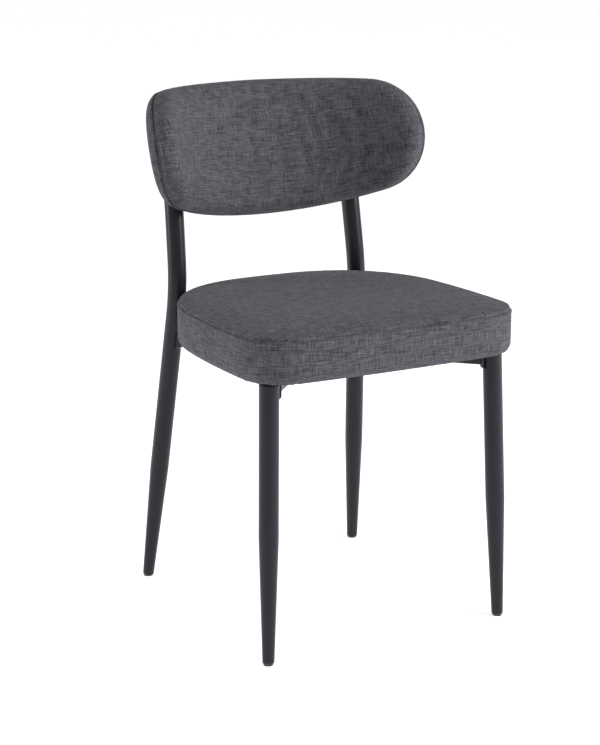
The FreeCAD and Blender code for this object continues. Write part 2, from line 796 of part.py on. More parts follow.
def build_dust_cover():
    """The felt sheet under the seat, pierced for the bolts."""
    body = new_body("dust_cover")
    sketch = new_sketch(body, "outline")
    seat_outline(sketch, size.dust_inset)
    padded(body, "felt", sketch, size.dust_wall, under_seat() - size.dust_wall)
    for label, bolt in seat_bolt_axes():
        drilled(body, f"{label}_hole", size.bolt_hole, bolt, 4 * float(size.bar_side))
    keep(body, "seat_dust_cover")


def build_staples():
    """The backs of the staples round the dust cover's edge, clear of the cross bars."""
    line_body = new_body("staple_line")
    sketch = new_sketch(line_body, "line")
    seat_outline(sketch, size.dust_inset + size.staple_inset)
    staple = doc.addObject("Part::Box", "staple_master")
    bind(staple, Length=size.staple_crown, Width=size.staple_width, Height=size.staple_wire)
    doc.recompute()
    line = sketch.Shape.Wires[0]
    count = int(line.Length // float(size.staple_pitch))
    below = float(under_seat() - size.dust_wall - size.staple_wire)
    middle = Placement(Vector(-float(size.staple_crown) / 2, -float(size.staple_width) / 2, 0), Rotation())
    finer = 8
    points = line.discretize(Number=count * finer + 1)
    places = []
    for i in range(0, count * finer, finer):
        point, ahead = points[i], points[i + 1]
        if near_a_bar(point):
            continue
        heading = math.degrees(math.atan2(ahead.y - point.y, ahead.x - point.x))
        turn = Placement(Vector(point.x, point.y, below), Rotation(Vector(0, 0, 1), heading))
        places.append(turn.multiply(middle))
    copies("staples", staple, places)


def near_a_bar(point):
    """Whether a point under the seat lies over a bar or a saddle."""
    centre = crossing()
    keep_off = float(size.bar_side + size.tube_radius)
    for legs in (front_place, rear_place):
        for side in SIDES.values():
            towards = (point_at_height(legs(side), centre.z) - centre).normalize()
            offset = Vector(point.x - centre.x, point.y - centre.y, 0)
            along = offset.dot(towards)
            if along > 0 and (offset - towards * along).Length < keep_off:
                return True
    return False


# ---------------------------------------------------------------- fasteners


def bolt_master(name, length):
    """A button-head bolt: shank down from the origin, head above it, with a hexagon socket."""
    body = new_body(name)
    radius, head, tall = size.bolt_radius, size.bolt_head_radius, size.bolt_head_height
    turned(body, "bolt", [
        (0.0, -length), (radius - 0.6, -length), (radius, 0.8 - length), (radius, 0.0),
        (head, 0.0), (head, tall * 0.3), (head * 0.8, tall * 0.8), (head * 0.5, tall), (0.0, tall),
    ])
    sketch = new_sketch(body, "socket")
    half = size.bolt_socket
    slant, edge = half * math.tan(math.pi / 6), half / math.cos(math.pi / 6)
    polygon(sketch, [
        (slant, half), (-slant, half), (-edge, 0.0), (-slant, -half), (slant, -half), (edge, 0.0),
    ])
    sketch.AttachmentOffset = Placement(Vector(0, 0, float(tall)), Rotation())
    sketch.setExpression("AttachmentOffset.Base.z", tall.text)
    pocket = body.newObject("PartDesign::Pocket", "socket_cut")
    pocket.Profile = sketch
    bind(pocket, Length=tall * 0.6)
    return body


def washer_master(name):
    body = new_body(name)
    inner, outer, wall = size.bolt_hole, size.washer_radius, size.washer_wall
    turned(body, "washer", [(inner, 0.0), (outer, 0.0), (outer, wall), (inner, wall)])
    return body


def tnut_master(name):
    """A T-nut: flange at the origin, barrel down from it."""
    body = new_body(name)
    bore, barrel = size.thread_radius, size.tnut_barrel
    flange, wall = size.tnut_flange, size.tnut_flange_wall
    turned(body, "tnut", [
        (bore, -size.tnut_length), (barrel, -size.tnut_length), (barrel, -wall), (flange, -wall),
        (flange, 0.0), (bore, 0.0),
    ])
    return body


def build_seat_fasteners():
    """Four bolts, each with a washer, up through the bars into T-nuts in the board."""
    flip = Rotation(Vector(1, 0, 0), 180)
    half_bar = float(size.bar_side) / 2
    board_top = float(board_low() + size.board_wall)
    washers, bolts, nuts = [], [], []
    for _, bolt in seat_bolt_axes():
        x, y, z = bolt.Base
        under = z - half_bar - float(size.play)
        washers.append(Placement(Vector(x, y, under), flip))
        bolts.append(Placement(Vector(x, y, under - float(size.washer_wall)), flip))
        nuts.append(Placement(Vector(x, y, board_top), Rotation()))
    stack = board_low() + size.board_wall - bar_top() + size.bar_side + size.play
    length = stack + size.washer_wall - size.bolt_short
    copies("seat_bolts", bolt_master("seat_bolt_master", length), bolts)
    copies("seat_washers", washer_master("seat_washer_master"), washers)
    copies("seat_t_nuts", tnut_master("seat_tnut_master"), nuts)


# ---------------------------------------------------------------- back


def pad_place():
    """The pad's own frame: Z up the axis of its curve, which leans back; Y towards the rear.

    The pad's back lies against the uprights, a named gap away from where their top runs begin.
    """
    lean = Rotation(Vector(1, 0, 0), -float(size.pad_lean))
    top_run = path_in_chair(1).Edges[-1]
    touch = lean.inverted().multVec(min((v.Point for v in top_run.Vertexes), key=lambda p: p.z))
    reach = float(size.pad_bend + size.pad_thickness / 2 + size.tube_radius + size.upright_gap)
    axis_y = touch.y - math.sqrt(reach**2 - touch.x**2)
    up = touch.z - float(size.pad_below_top)
    return Placement(lean.multVec(Vector(0, axis_y, up)), lean)


def pad_arcs(inset):
    """The pad's outline as (centre, radius, start, end), counter-clockwise from the lower edge.

    Each end is two arcs that meet at the pad's widest point.
    """
    half, low_corner = float(size.pad_half_width), float(size.pad_low_corner)
    low_bow, top_bow = float(size.pad_low_bow), float(size.pad_top_bow)
    low = Vector(0, low_bow - float(size.pad_drop), 0)
    top = Vector(0, float(size.pad_rise) - top_bow, 0)
    across = half - low_corner
    low_end = Vector(across, low.y - math.sqrt((low_bow - low_corner)**2 - across**2), 0)
    rise = low_end.y - top.y
    top_corner = (top_bow**2 - half**2 - rise**2) / (2 * (top_bow - half))
    top_end = Vector(half - top_corner, low_end.y, 0)
    low_turn = math.atan2(low_end.y - low.y, low_end.x)
    top_turn = math.atan2(top_end.y - top.y, top_end.x)
    right = [(low_end, low_corner, low_turn, 0.0), (top_end, top_corner, 0.0, top_turn)]
    left = [(Vector(-c.x, c.y, 0), r, math.pi - end, math.pi - start) for c, r, start, end in reversed(right)]
    arcs = [(low, low_bow, -math.pi - low_turn, low_turn)] + right
    arcs += [(top, top_bow, top_turn, math.pi - top_turn)] + left
    return [(centre, radius - inset, start, end) for centre, radius, start, end in arcs]


def edges_on_cylinder(arcs, radius):
    """Wrap an outline round the pad's axis at a radius: each arc becomes one in the cylinder's own plane."""
    bend = float(size.pad_bend)
    cylinder = Part.Cylinder()
    cylinder.Radius = radius
    edges = []
    for centre, arc_radius, start, end in arcs:
        turn = math.pi / 2 - centre.x / bend
        middle = Base.Vector2d(turn, centre.y)
        ellipse = Part.Geom2d.Ellipse2d(Base.Vector2d(turn, centre.y + arc_radius),
                                        Base.Vector2d(turn - arc_radius / bend, centre.y), middle)
        arc = Part.Geom2d.ArcOfEllipse2d(ellipse, math.pi / 2 - end, math.pi / 2 - start)
        edges.append(arc.toShape(cylinder))
    return cylinder, edges


def curved_panel(inset, front, rear, front_round=0.0, rear_round=0.0):
    """A curved slab in the pad's outline, between two depths behind mid thickness."""
    bend = float(size.pad_bend)
    arcs = pad_arcs(float(inset))
    faces, rims = [], []
    for depth in (float(front), float(rear)):
        cylinder, edges = edges_on_cylinder(arcs, bend + depth)
        faces.append(Part.Face(cylinder, Part.Wire(edges)))
        rims.append(edges)
    faces += [Part.makeRuledSurface(near, far) for near, far in zip(*rims)]
    shell = Part.makeShell(faces)
    shell.sewShape()
    solid = Part.makeSolid(shell)
    if solid.Orientation == "Reversed":
        solid = Part.makeSolid(shell.reversed())
    for depth, rounding in ((float(front), float(front_round)), (float(rear), float(rear_round))):
        if rounding > 0:
            rim = [e for e in solid.Edges if all(
                abs(math.hypot(v.X, v.Y) - bend - depth) < NEAR for v in e.Vertexes)]
            solid = solid.makeFillet(rounding, rim)
    return solid


def tube_band(depth_low, depth_high):
    """All the space between two depths behind mid thickness, over the pad's height."""
    tall = 2 * float(size.pad_rise + size.pad_drop)
    bend = float(size.pad_bend)
    base = Vector(0, 0, -tall / 2)
    outer = Part.makeCylinder(bend + float(depth_high), tall, base)
    return outer.cut(Part.makeCylinder(bend + float(depth_low), tall, base))


def back_bolt_axes(side):
    """Placement of each back bolt of one side: origin on the upright's centre line, Z away from the pad."""
    pad = pad_place()
    inverse = pad.inverse()
    path = path_in_chair(side)
    points = [inverse.multVec(p) for p in path.discretize(Number=PATH_POINTS)]
    found = []
    for label, height in (("low", size.back_bolt_low), ("high", size.back_bolt_high)):
        middle = min(points, key=lambda p: abs(p.z - float(height)))
        outward = Vector(middle.x, middle.y, 0)
        turn = facing(outward, Vector(0, 0, 1))
        found.append((label, pad.multiply(Placement(middle, turn))))
    return found


def all_back_bolts():
    return [bolt for side in SIDES.values() for _, bolt in back_bolt_axes(side)]


def bored(shape, radius, start, end):
    """Cut each back bolt's hole, between two depths, out of a shape in the pad's frame."""
    inverse = pad_place().inverse()
    for bolt in all_back_bolts():
        local = inverse.multiply(bolt)
        away = Vector(local.Base.x, local.Base.y, 0)
        unit = Vector(away).normalize()
        low = unit * (float(size.pad_bend) + start) + Vector(0, 0, local.Base.z)
        shape = shape.cut(Part.makeCylinder(float(radius), end - start, low, unit))
    return shape


def pad_piece(name, shape):
    """Show a shape that was made in the pad's own frame."""
    piece = doc.addObject("Part::Feature", f"{name}_shape")
    piece.Shape = shape
    piece.Placement = pad_place()
    return keep(piece, name)


def shell_depths():
    """Front and rear of the plywood, behind mid thickness."""
    rear = size.pad_thickness / 2 - size.cover_wall - size.batting_wall - size.play * 2
    return rear - size.shell_wall, rear


def build_back():
    """Plywood shell, foam in front, wadding behind, and two covers sewn together round the edge."""
    half, wall, play = size.pad_thickness / 2, size.cover_wall, size.play
    whole = float(size.pad_thickness)
    outside = curved_panel(0.0, -half, half, size.pad_front_round, size.pad_rear_round)
    inside = curved_panel(
        wall, wall - half, half - wall, size.pad_front_round - wall, size.pad_rear_round - wall)
    cover = bored(outside.cut(inside), size.bolt_hole, 0.0, whole)
    seam = float(size.pad_seam)
    gap = float(play) / 2
    pad_piece("back_cover_front", cover.common(tube_band(-whole, seam - gap)))
    pad_piece("back_cover_rear", cover.common(tube_band(seam + gap, whole)))

    front, rear = (float(depth) for depth in shell_depths())
    plywood = curved_panel(size.shell_inset, front, rear)
    plywood = bored(plywood, size.tnut_barrel + play, 0.0, whole)
    nut_room = front + float(size.tnut_flange_wall + play)
    plywood = bored(plywood, size.tnut_flange + play, front - CLEAR, nut_room)
    pad_piece("back_shell", plywood)

    snug = wall + play
    filling = curved_panel(
        snug, snug - half, half - snug, size.pad_front_round - snug, size.pad_rear_round - snug)
    room = curved_panel(size.shell_inset - play, front - float(play), rear + CLEAR)
    pad_piece("back_foam", filling.common(tube_band(-whole, rear)).cut(room))
    wadding = filling.common(tube_band(rear + float(play), whole))
    pad_piece("back_wadding", bored(wadding, size.bolt_hole, 0.0, whole))


def build_back_fasteners():
    """Bolts through the uprights, with spacers between the uprights and the pad."""
    pad = pad_place()
    front, _ = shell_depths()
    tube, bend = float(size.tube_radius), float(size.pad_bend)
    washer = float(size.washer_wall)
    bolts, nuts, spacers, rings, reaches = [], [], [], [], []
    for side in SIDES.values():
        for _, bolt in back_bolt_axes(side):
            local = pad.inverse().multVec(bolt.Base)
            reach = math.hypot(local.x, local.y)
            reaches.append(reach)
            bolts.append(bolt.multiply(Placement(Vector(0, 0, tube + washer), Rotation())))
            flange = Placement(Vector(0, 0, bend + float(front) - reach), Rotation(Vector(1, 0, 0), 180))
            nuts.append(bolt.multiply(flange))
            spacers.append(spacer_shape(bolt, side))
            rings.append(ring_shape(bolt, side))
    length = washer + tube + min(reaches) - bend - float(front) - float(size.play)
    copies("back_bolts", bolt_master("back_bolt_master", as_size(round(length, 1))), bolts)
    copies("back_t_nuts", tnut_master("back_tnut_master"), nuts)
    for name, parts in (("back_spacers", spacers), ("back_washers", rings)):
        group = doc.addObject("Part::Feature", f"{name}_group")
        group.Shape = Part.makeCompound(parts)
        keep(group, name)


def upright_rod(bolt, radius, side):
    """A straight rod along the upright near a bolt."""
    points = path_in_chair(side).discretize(Number=PATH_POINTS)
    nearest = min(range(1, len(points) - 1), key=lambda i: (points[i] - bolt.Base).Length)
    axis = (points[nearest + 1] - points[nearest - 1]).normalize()
    length = 6 * float(size.tube_radius)
    return Part.makeCylinder(float(radius), length, bolt.Base - axis * length / 2, axis)


def spacer_shape(bolt, side):
    """A bored disc that fills the gap between an upright and the pad."""
    reach = 4 * float(size.tube_radius)
    disc = Part.makeCylinder(float(size.spacer_radius), reach)
    disc = disc.cut(Part.makeCylinder(float(size.bolt_hole), reach))
    disc.Placement = bolt.multiply(Placement(Vector(0, 0, -reach), Rotation()))
    disc = disc.cut(upright_rod(bolt, size.tube_radius + size.play, side))
    skin = float(size.pad_bend + size.pad_thickness / 2 + size.play)
    tall = 2 * float(size.pad_rise + size.pad_drop)
    drum = Part.makeCylinder(skin, tall, Vector(0, 0, -tall / 2))
    drum.Placement = pad_place()
    return max(disc.cut(drum).Solids, key=lambda s: s.Volume)


def ring_shape(bolt, side):
    """A washer under a bolt's head, curved to sit on the upright."""
    tall = float(size.tube_radius + size.washer_wall)
    ring = Part.makeCylinder(float(size.ring_radius), tall)
    ring = ring.cut(Part.makeCylinder(float(size.bolt_hole), tall))
    ring.Placement = bolt
    ring = ring.cut(upright_rod(bolt, size.tube_radius + size.play / 2, side))
    return max(ring.Solids, key=lambda s: s.Volume)


# ---------------------------------------------------------------- the chair


def build_frame():
    for name, side in SIDES.items():
        build_front_leg(name, side)
        build_rear_leg(name, side)
        front, rear = front_place(side), rear_place(side)
        build_glide(f"front_{name}", front)
        build_glide(f"rear_{name}", rear)
        build_saddle(f"front_{name}", front)
        build_saddle(f"rear_{name}", rear)
        top = Placement(Vector(0, 0, float(front_leg_length())), Rotation())
        build_cap(f"front_leg_plug_{name}", front.multiply(top))
        top_run = path_in_chair(side).Edges[-1]
        low, high = sorted((v.Point for v in top_run.Vertexes), key=lambda p: p.z)
        build_cap(f"upright_cap_{name}", Placement(high, facing(high - low, Vector(1, 0, 0))))
    build_brace()


def check_document():
    """Stop on any failed object or unsound sub-part."""
    doc.recompute()
    for thing in doc.Objects:
        if any(state in ("Invalid", "Error") for state in thing.State):
            raise RuntimeError(f"{thing.Label} failed: {thing.State}")
    names = [piece.Label for piece in exported]
    if len(set(names)) != len(names):
        raise RuntimeError("two sub-parts share a name")
    for piece in exported:
        if piece.Shape.isNull() or not piece.Shape.isValid() or not piece.Shape.Solids:
            raise RuntimeError(f"{piece.Label} has no valid solid")


def export_parts():
    os.makedirs("parts", exist_ok=True)
    for piece in exported:
        piece.Shape.exportStep(f"parts/{piece.Label}.step")


build_frame()
build_board()
build_foam()
build_cover()
build_dust_cover()
build_staples()
build_seat_fasteners()
build_back()
build_back_fasteners()
check_document()
export_parts()
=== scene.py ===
"""Looks of an upholstered dining chair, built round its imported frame.

The seat and the back are sewn fabric pads, the frame is powder-coated steel tube. Metres throughout.
"""

import json
import logging
import math
from collections.abc import Callable, Iterable
from dataclasses import dataclass, field
from enum import Enum

import bpy
import numpy as np
from mathutils import Matrix, Vector
from mathutils.bvhtree import BVHTree


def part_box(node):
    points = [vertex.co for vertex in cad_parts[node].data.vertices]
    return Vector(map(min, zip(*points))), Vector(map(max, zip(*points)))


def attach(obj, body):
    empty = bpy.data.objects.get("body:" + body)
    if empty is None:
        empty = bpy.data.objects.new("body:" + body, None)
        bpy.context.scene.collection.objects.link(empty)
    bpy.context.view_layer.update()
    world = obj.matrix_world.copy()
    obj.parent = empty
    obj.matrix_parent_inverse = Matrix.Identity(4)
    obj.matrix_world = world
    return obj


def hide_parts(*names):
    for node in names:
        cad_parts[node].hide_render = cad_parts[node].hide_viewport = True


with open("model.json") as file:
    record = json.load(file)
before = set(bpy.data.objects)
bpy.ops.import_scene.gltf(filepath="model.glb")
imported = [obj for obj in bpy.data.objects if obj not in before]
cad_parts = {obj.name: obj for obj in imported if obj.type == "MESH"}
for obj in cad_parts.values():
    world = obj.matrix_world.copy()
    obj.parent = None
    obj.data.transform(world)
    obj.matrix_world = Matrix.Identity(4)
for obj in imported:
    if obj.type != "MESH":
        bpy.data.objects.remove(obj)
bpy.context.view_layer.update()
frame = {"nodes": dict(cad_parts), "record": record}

LOG = logging.getLogger("dining_chair")
WEAVE_MAP = "weave"
SIDE_AT = (1.3, 1.7)
REAR_AT = 3.0
FOLD_WEIGHTS = (1.0, 0.7, 0.5, 0.4)
MM = 0.001

Colour = tuple[float, float, float]


# ---------------------------------------------------------------- shader arithmetic


class Signal:
    """A shader socket that takes part in Python arithmetic."""

    def __init__(self, graph: "Graph", socket: bpy.types.NodeSocket) -> None:
        """Wrap an output socket of a graph."""
        self.graph = graph
        self.socket = socket

    def __add__(self, other: "float | Signal") -> "Signal":
        """Sum."""
        return self.graph.maths("ADD", self, other)

    __radd__ = __add__

    def __sub__(self, other: "float | Signal") -> "Signal":
        """Difference."""
        return self.graph.maths("SUBTRACT", self, other)

    def __rsub__(self, other: "float | Signal") -> "Signal":
        """Difference, the other way round."""
        return self.graph.maths("SUBTRACT", other, self)

    def __mul__(self, other: "float | Signal") -> "Signal":
        """Product."""
        return self.graph.maths("MULTIPLY", self, other)

    __rmul__ = __mul__

    def __truediv__(self, other: "float | Signal") -> "Signal":
        """Quotient."""
        return self.graph.maths("DIVIDE", self, other)

    def __abs__(self) -> "Signal":
        """Absolute value."""
        return self.graph.maths("ABSOLUTE", self)

    def sine(self) -> "Signal":
        """Sine, in radians."""
        return self.graph.maths("SINE", self)

    def clamped(self) -> "Signal":
        """The value held between 0 and 1."""
        return self.graph.node("ShaderNodeClamp", inputs={"Value": self})

    def smooth(self, low: float, high: float) -> "Signal":
        """A soft step from 0 at the low value to 1 at the high one."""
        settings = {"interpolation_type": "SMOOTHSTEP"}
        inputs = {"Value": self, "From Min": low, "From Max": high}
        return self.graph.node("ShaderNodeMapRange", settings, inputs)


class Graph:
    """A material's node tree, with one method that adds any node."""

    def __init__(self, name: str) -> None:
        """Start a material with an empty tree.

        Args:
            name: the material's name.
        """
        self.material = bpy.data.materials.new(name)
        self.material.use_nodes = True
        self.tree = self.material.node_tree
        self.tree.nodes.clear()

    def node(self, kind: str, settings: dict[str, object] | None = None,
             inputs: dict[object, object] | None = None, output: object = 0) -> Signal:
        """Add a node.

        Args:
            kind: the node's type.
            settings: its own properties, set first.
            inputs: values or signals by socket name or index.
            output: the output socket wanted back.

        Returns:
            The chosen output as a signal.
        """
        made = self.tree.nodes.new(kind)
        for key, value in (settings or {}).items():
            setattr(made, key, value)
        for key, value in (inputs or {}).items():
            socket = made.inputs[key]
            if isinstance(value, Signal):
                self.tree.links.new(value.socket, socket)
            elif isinstance(value, tuple) and socket.type == "RGBA":
                socket.default_value = (*value, 1.0)
            else:
                socket.default_value = value
        return Signal(self, made.outputs[output]) if len(made.outputs) else Signal(self, None)

    def maths(self, operation: str, first: "float | Signal",
              second: "float | Signal | None" = None) -> Signal:
        """Add a Math node on one or two numbers."""
        inputs = {0: first} if second is None else {0: first, 1: second}
        return self.node("ShaderNodeMath", {"operation": operation}, inputs)

    def scaled(self, vector: Signal, by: tuple[float, float, float]) -> Signal:
        """Multiply a vector by three numbers."""
        return self.node("ShaderNodeVectorMath", {"operation": "MULTIPLY"}, {0: vector, 1: by})

    def shifted(self, vector: Signal, by: "Signal | tuple[float, float, float]") -> Signal:
        """Add a vector or three numbers to a vector."""
        return self.node("ShaderNodeVectorMath", {"operation": "ADD"}, {0: vector, 1: by})

    def noise(self, vector: Signal, scale: float, detail: float = 2.0, rough: float = 0.5,
              output: object = "Fac") -> Signal:
        """Add a noise pattern on a vector.

        Args:
            vector: where it is read.
            scale: features in a unit of length.
            detail: octaves.
            rough: share of each finer octave.
            output: the socket wanted, a number or a colour.

        Returns:
            The pattern.
        """
        inputs = {"Vector": vector, "Scale": scale, "Detail": detail, "Roughness": rough}
        return self.node("ShaderNodeTexNoise", {}, inputs, output)

    def blend(self, share: "float | Signal", first: "Colour | Signal", second: "Colour | Signal") -> Signal:
        """Mix two colours by a share."""
        return self.node("ShaderNodeMix", {"data_type": "RGBA"}, {0: share, 6: first, 7: second}, 2)

    def coordinates(self) -> Signal:
        """Object coordinates."""
        return self.node("ShaderNodeTexCoord", output="Object")

    def weave_map(self) -> Signal:
        """The cloth's own flat map, in metres."""
        return self.node("ShaderNodeUVMap", {"uv_map": WEAVE_MAP})

    def parts(self, vector: Signal) -> tuple[Signal, Signal, Signal]:
        """Split a vector into its three numbers."""
        outputs = self.node("ShaderNodeSeparateXYZ", {}, {0: vector}).socket.node.outputs
        return tuple(Signal(self, outputs[i]) for i in range(3))

    def bump(self, height: Signal, strength: float, distance: float, under: Signal | None = None) -> Signal:
        """Add a bump from a height.

        Args:
            height: the surface's height, about 0 to 1.
            strength: share of the bump that shows.
            distance: real height of 1.
            under: another bump that this one lies over.

        Returns:
            The bumped normal.
        """
        inputs: dict[object, object] = {"Height": height, "Strength": strength, "Distance": distance}
        if under is not None:
            inputs["Normal"] = under
        return self.node("ShaderNodeBump", {}, inputs)

    def finish(self, **sockets: object) -> bpy.types.Material:
        """Close the tree with a Principled shader.

        Args:
            sockets: its inputs by name, with underscores for spaces.

        Returns:
            The finished material.
        """
        inputs = {key.replace("_", " "): value for key, value in sockets.items()}
        shader = self.node("ShaderNodeBsdfPrincipled", {}, inputs)
        self.node("ShaderNodeOutputMaterial", {}, {"Surface": shader})
        return self.material


# ---------------------------------------------------------------- finishes


@dataclass(frozen=True)
class Coating:
    """A finish that is drawn in a tree of its own."""

    def build(self, name: str) -> bpy.types.Material:
        """The finish as a material of the given name."""
        return self.draw(Graph(name))

    def draw(self, graph: Graph) -> bpy.types.Material:
        """Draw the finish; each kind has its own."""
        raise NotImplementedError


@dataclass(frozen=True)
class Linen(Coating):
    """Charcoal upholstery cloth in a plain weave of slubbed yarns."""

    dark: Colour = (0.0240, 0.0233, 0.0268)
    light: Colour = (0.133, 0.130, 0.145)
    pitch: float = 1.0 * MM
    slub_length: float = 20 * MM
    slub_width: float = 0.85 * MM
    contrast: float = 1.75
    middle_tone: float = 0.42
    coarse_share: float = 0.45
    mottle_share: float = 0.2
    mottle_scale: float = 26.0
    crossing_share: float = 0.10
    sway_scale: float = 14.0
    sway: float = 6 * MM
    ridge: float = 0.35 * MM
    sheen: float = 0.05

    def yarns(self, graph: Graph, flat: Signal, across: float, along: float, shift: float) -> Signal:
        """Streaks of thicker and thinner yarn.

        Args:
            graph: the tree.
            flat: the cloth's flat map.
            across: streaks in a metre, first direction.
            along: streaks in a metre, second direction.
            shift: offset that makes each call's pattern its own.

        Returns:
            Streaks about zero.
        """
        placed = graph.shifted(graph.scaled(flat, (across, along, 1.0)), (shift, shift, shift))
        return graph.noise(placed, 1.0, 1.5, 0.55) - 0.5

    def draw(self, graph: Graph) -> bpy.types.Material:
        """Draw the finish.

        Args:
            graph: an empty tree.

        Returns:
            The material.
        """
        flat = graph.weave_map()
        sway = graph.noise(flat, self.sway_scale, 1.0, 0.5, "Color")
        sway = graph.scaled(graph.shifted(sway, (-0.5, -0.5, -0.5)), (self.sway, self.sway, 0.0))
        flat = graph.shifted(flat, sway)
        thin, long = 1 / self.slub_width, 1 / self.slub_length
        warp = self.yarns(graph, flat, thin, long, 3.1)
        weft = self.yarns(graph, flat, long, thin, 17.7)
        coarse = self.yarns(graph, flat, thin * 0.5, long * 1.6, 41.0)
        across, up, _ = graph.parts(flat)
        turn = math.pi / self.pitch
        over = ((across * turn).sine() * (up * turn).sine()).smooth(-0.35, 0.35)
        mottle = graph.noise(flat, self.mottle_scale, 3.0) - 0.5
        tone = self.middle_tone + warp * self.contrast + weft * self.contrast
        tone = tone + coarse * self.coarse_share + mottle * self.mottle_share
        tone = (tone + (over - 0.5) * self.crossing_share).clamped()
        colour = graph.blend(tone, self.dark, self.light)
        ridges = abs((across * turn).sine()) * (1.0 - over) + abs((up * turn).sine()) * over
        height = ridges * 0.55 + warp * 0.9 + weft * 0.9
        normal = graph.bump(height, 0.55, self.ridge)
        normal = graph.bump(mottle, 0.10, 2.0 * MM, normal)
        rough = 0.86 + tone * 0.08
        return graph.finish(Base_Color=colour, Roughness=rough, Normal=normal, Sheen_Weight=self.sheen,
                            Sheen_Roughness=0.5, Specular_IOR_Level=0.12)


@dataclass(frozen=True)
class PowderCoat(Coating):
    """Satin powder coat on steel, with a faint orange-peel surface."""

    tint: Colour = (0.0068, 0.0068, 0.0120)
    worn: Colour = (0.0098, 0.0098, 0.0160)
    roughness: float = 0.31
    cloud_scale: float = 9.0
    peel_scale: float = 620.0
    grain_scale: float = 2400.0
    scuff_scale: float = 190.0
    scuff_stretch: float = 0.16
    peel: float = 0.20 * MM
    gloss: float = 0.26

    def draw(self, graph: Graph) -> bpy.types.Material:
        """Draw the finish.

        Args:
            graph: an empty tree.

        Returns:
            The material.
        """
        place = graph.coordinates()
        cloud = graph.noise(place, self.cloud_scale, 3.0)
        peel = graph.noise(place, self.peel_scale, 2.0, 0.45)
        grain = graph.noise(place, self.grain_scale, 1.0)
        drawn = graph.scaled(place, (1.0, 1.0, self.scuff_stretch))
        scuff = graph.noise(drawn, self.scuff_scale, 4.0, 0.7).smooth(0.66, 0.80)
        colour = graph.blend((cloud * 0.6 + scuff * 0.5).clamped(), self.tint, self.worn)
        rough = self.roughness + (cloud - 0.5) * 0.10 + (grain - 0.5) * 0.08 + scuff * 0.06
        normal = graph.bump(peel * 0.8 + grain * 0.2, 0.16, self.peel)
        return graph.finish(Base_Color=colour, Roughness=rough, Normal=normal, Specular_IOR_Level=self.gloss)


@dataclass(frozen=True)
class MouldedPlastic(Coating):
    """Black moulded plastic with a fine texture, greyer where it is rubbed."""

    tint: Colour = (0.010, 0.010, 0.012)
    rubbed: Colour = (0.035, 0.035, 0.037)
    roughness: float = 0.52
    grain: float = 1500.0
    rub_height: float = 2.5 * MM
    rub_scale: float = 300.0
    depth: float = 0.12 * MM

    def draw(self, graph: Graph) -> bpy.types.Material:
        """Draw the finish.

        Args:
            graph: an empty tree.

        Returns:
            The material.
        """
        place = graph.coordinates()
        _, _, height = graph.parts(place)
        low = 1.0 - height.smooth(0.0, self.rub_height)
        speck = graph.noise(place, self.grain, 2.0)
        rub = (graph.noise(place, self.rub_scale, 3.0).smooth(0.45, 0.65) * low).clamped()
        colour = graph.blend(rub, self.tint, self.rubbed)
        rough = self.roughness + rub * 0.2 + (speck - 0.5) * 0.1
        return graph.finish(Base_Color=colour, Roughness=rough, Normal=graph.bump(speck, 0.20, self.depth))


@dataclass(frozen=True)
class Plywood(Coating):
    """Birch plywood: pale grain, with darker plies on its edges."""

    pale: Colour = (0.56, 0.41, 0.25)
    dark: Colour = (0.38, 0.25, 0.14)
    ply: float = 1.5 * MM
    grain_across: float = 260.0
    grain_along: float = 14.0

    def draw(self, graph: Graph) -> bpy.types.Material:
        """Draw the finish.

        Args:
            graph: an empty tree.

        Returns:
            The material.
        """
        place = graph.coordinates()
        fibres = graph.scaled(place, (self.grain_across, self.grain_along, self.grain_across))
        grain = graph.noise(fibres, 1.0, 4.0, 0.6)
        _, _, height = graph.parts(place)
        plies = ((height * (math.pi / self.ply)).sine() * 0.5 + 0.5) * 0.4
        colour = graph.blend((grain * 0.8 + plies * 0.5).clamped(), self.pale, self.dark)
        return graph.finish(Base_Color=colour, Roughness=0.62 + grain * 0.1,
                            Normal=graph.bump(grain, 0.25, 0.15 * MM))


@dataclass(frozen=True)
class SpunFelt(Coating):
    """Spun-bonded felt with a small pressed diamond pattern."""

    tint: Colour = (0.022, 0.022, 0.024)
    pale: Colour = (0.060, 0.060, 0.063)
    pitch: float = 1.8 * MM
    fibre_across: float = 900.0
    fibre_along: float = 400.0

    def draw(self, graph: Graph) -> bpy.types.Material:
        """Draw the finish.

        Args:
            graph: an empty tree.

        Returns:
            The material.
        """
        place = graph.coordinates()
        across, along, _ = graph.parts(place)
        turn = math.pi / self.pitch
        diamond = ((across + along) * turn).sine() * ((across - along) * turn).sine()
        pressed = diamond.smooth(0.55, 0.85)
        drawn = graph.scaled(place, (self.fibre_across, self.fibre_along, self.fibre_along))
        fibres = graph.noise(drawn, 1.0, 4.0, 0.7)
        colour = graph.blend((fibres * 0.8 + pressed * 0.5 - 0.15).clamped(), self.tint, self.pale)
        normal = graph.bump(fibres * 0.4 - pressed * 0.6, 0.5, 0.25 * MM)
        rough = 0.9 - pressed * 0.25
        return graph.finish(Base_Color=colour, Roughness=rough, Normal=normal, Sheen_Weight=0.1)


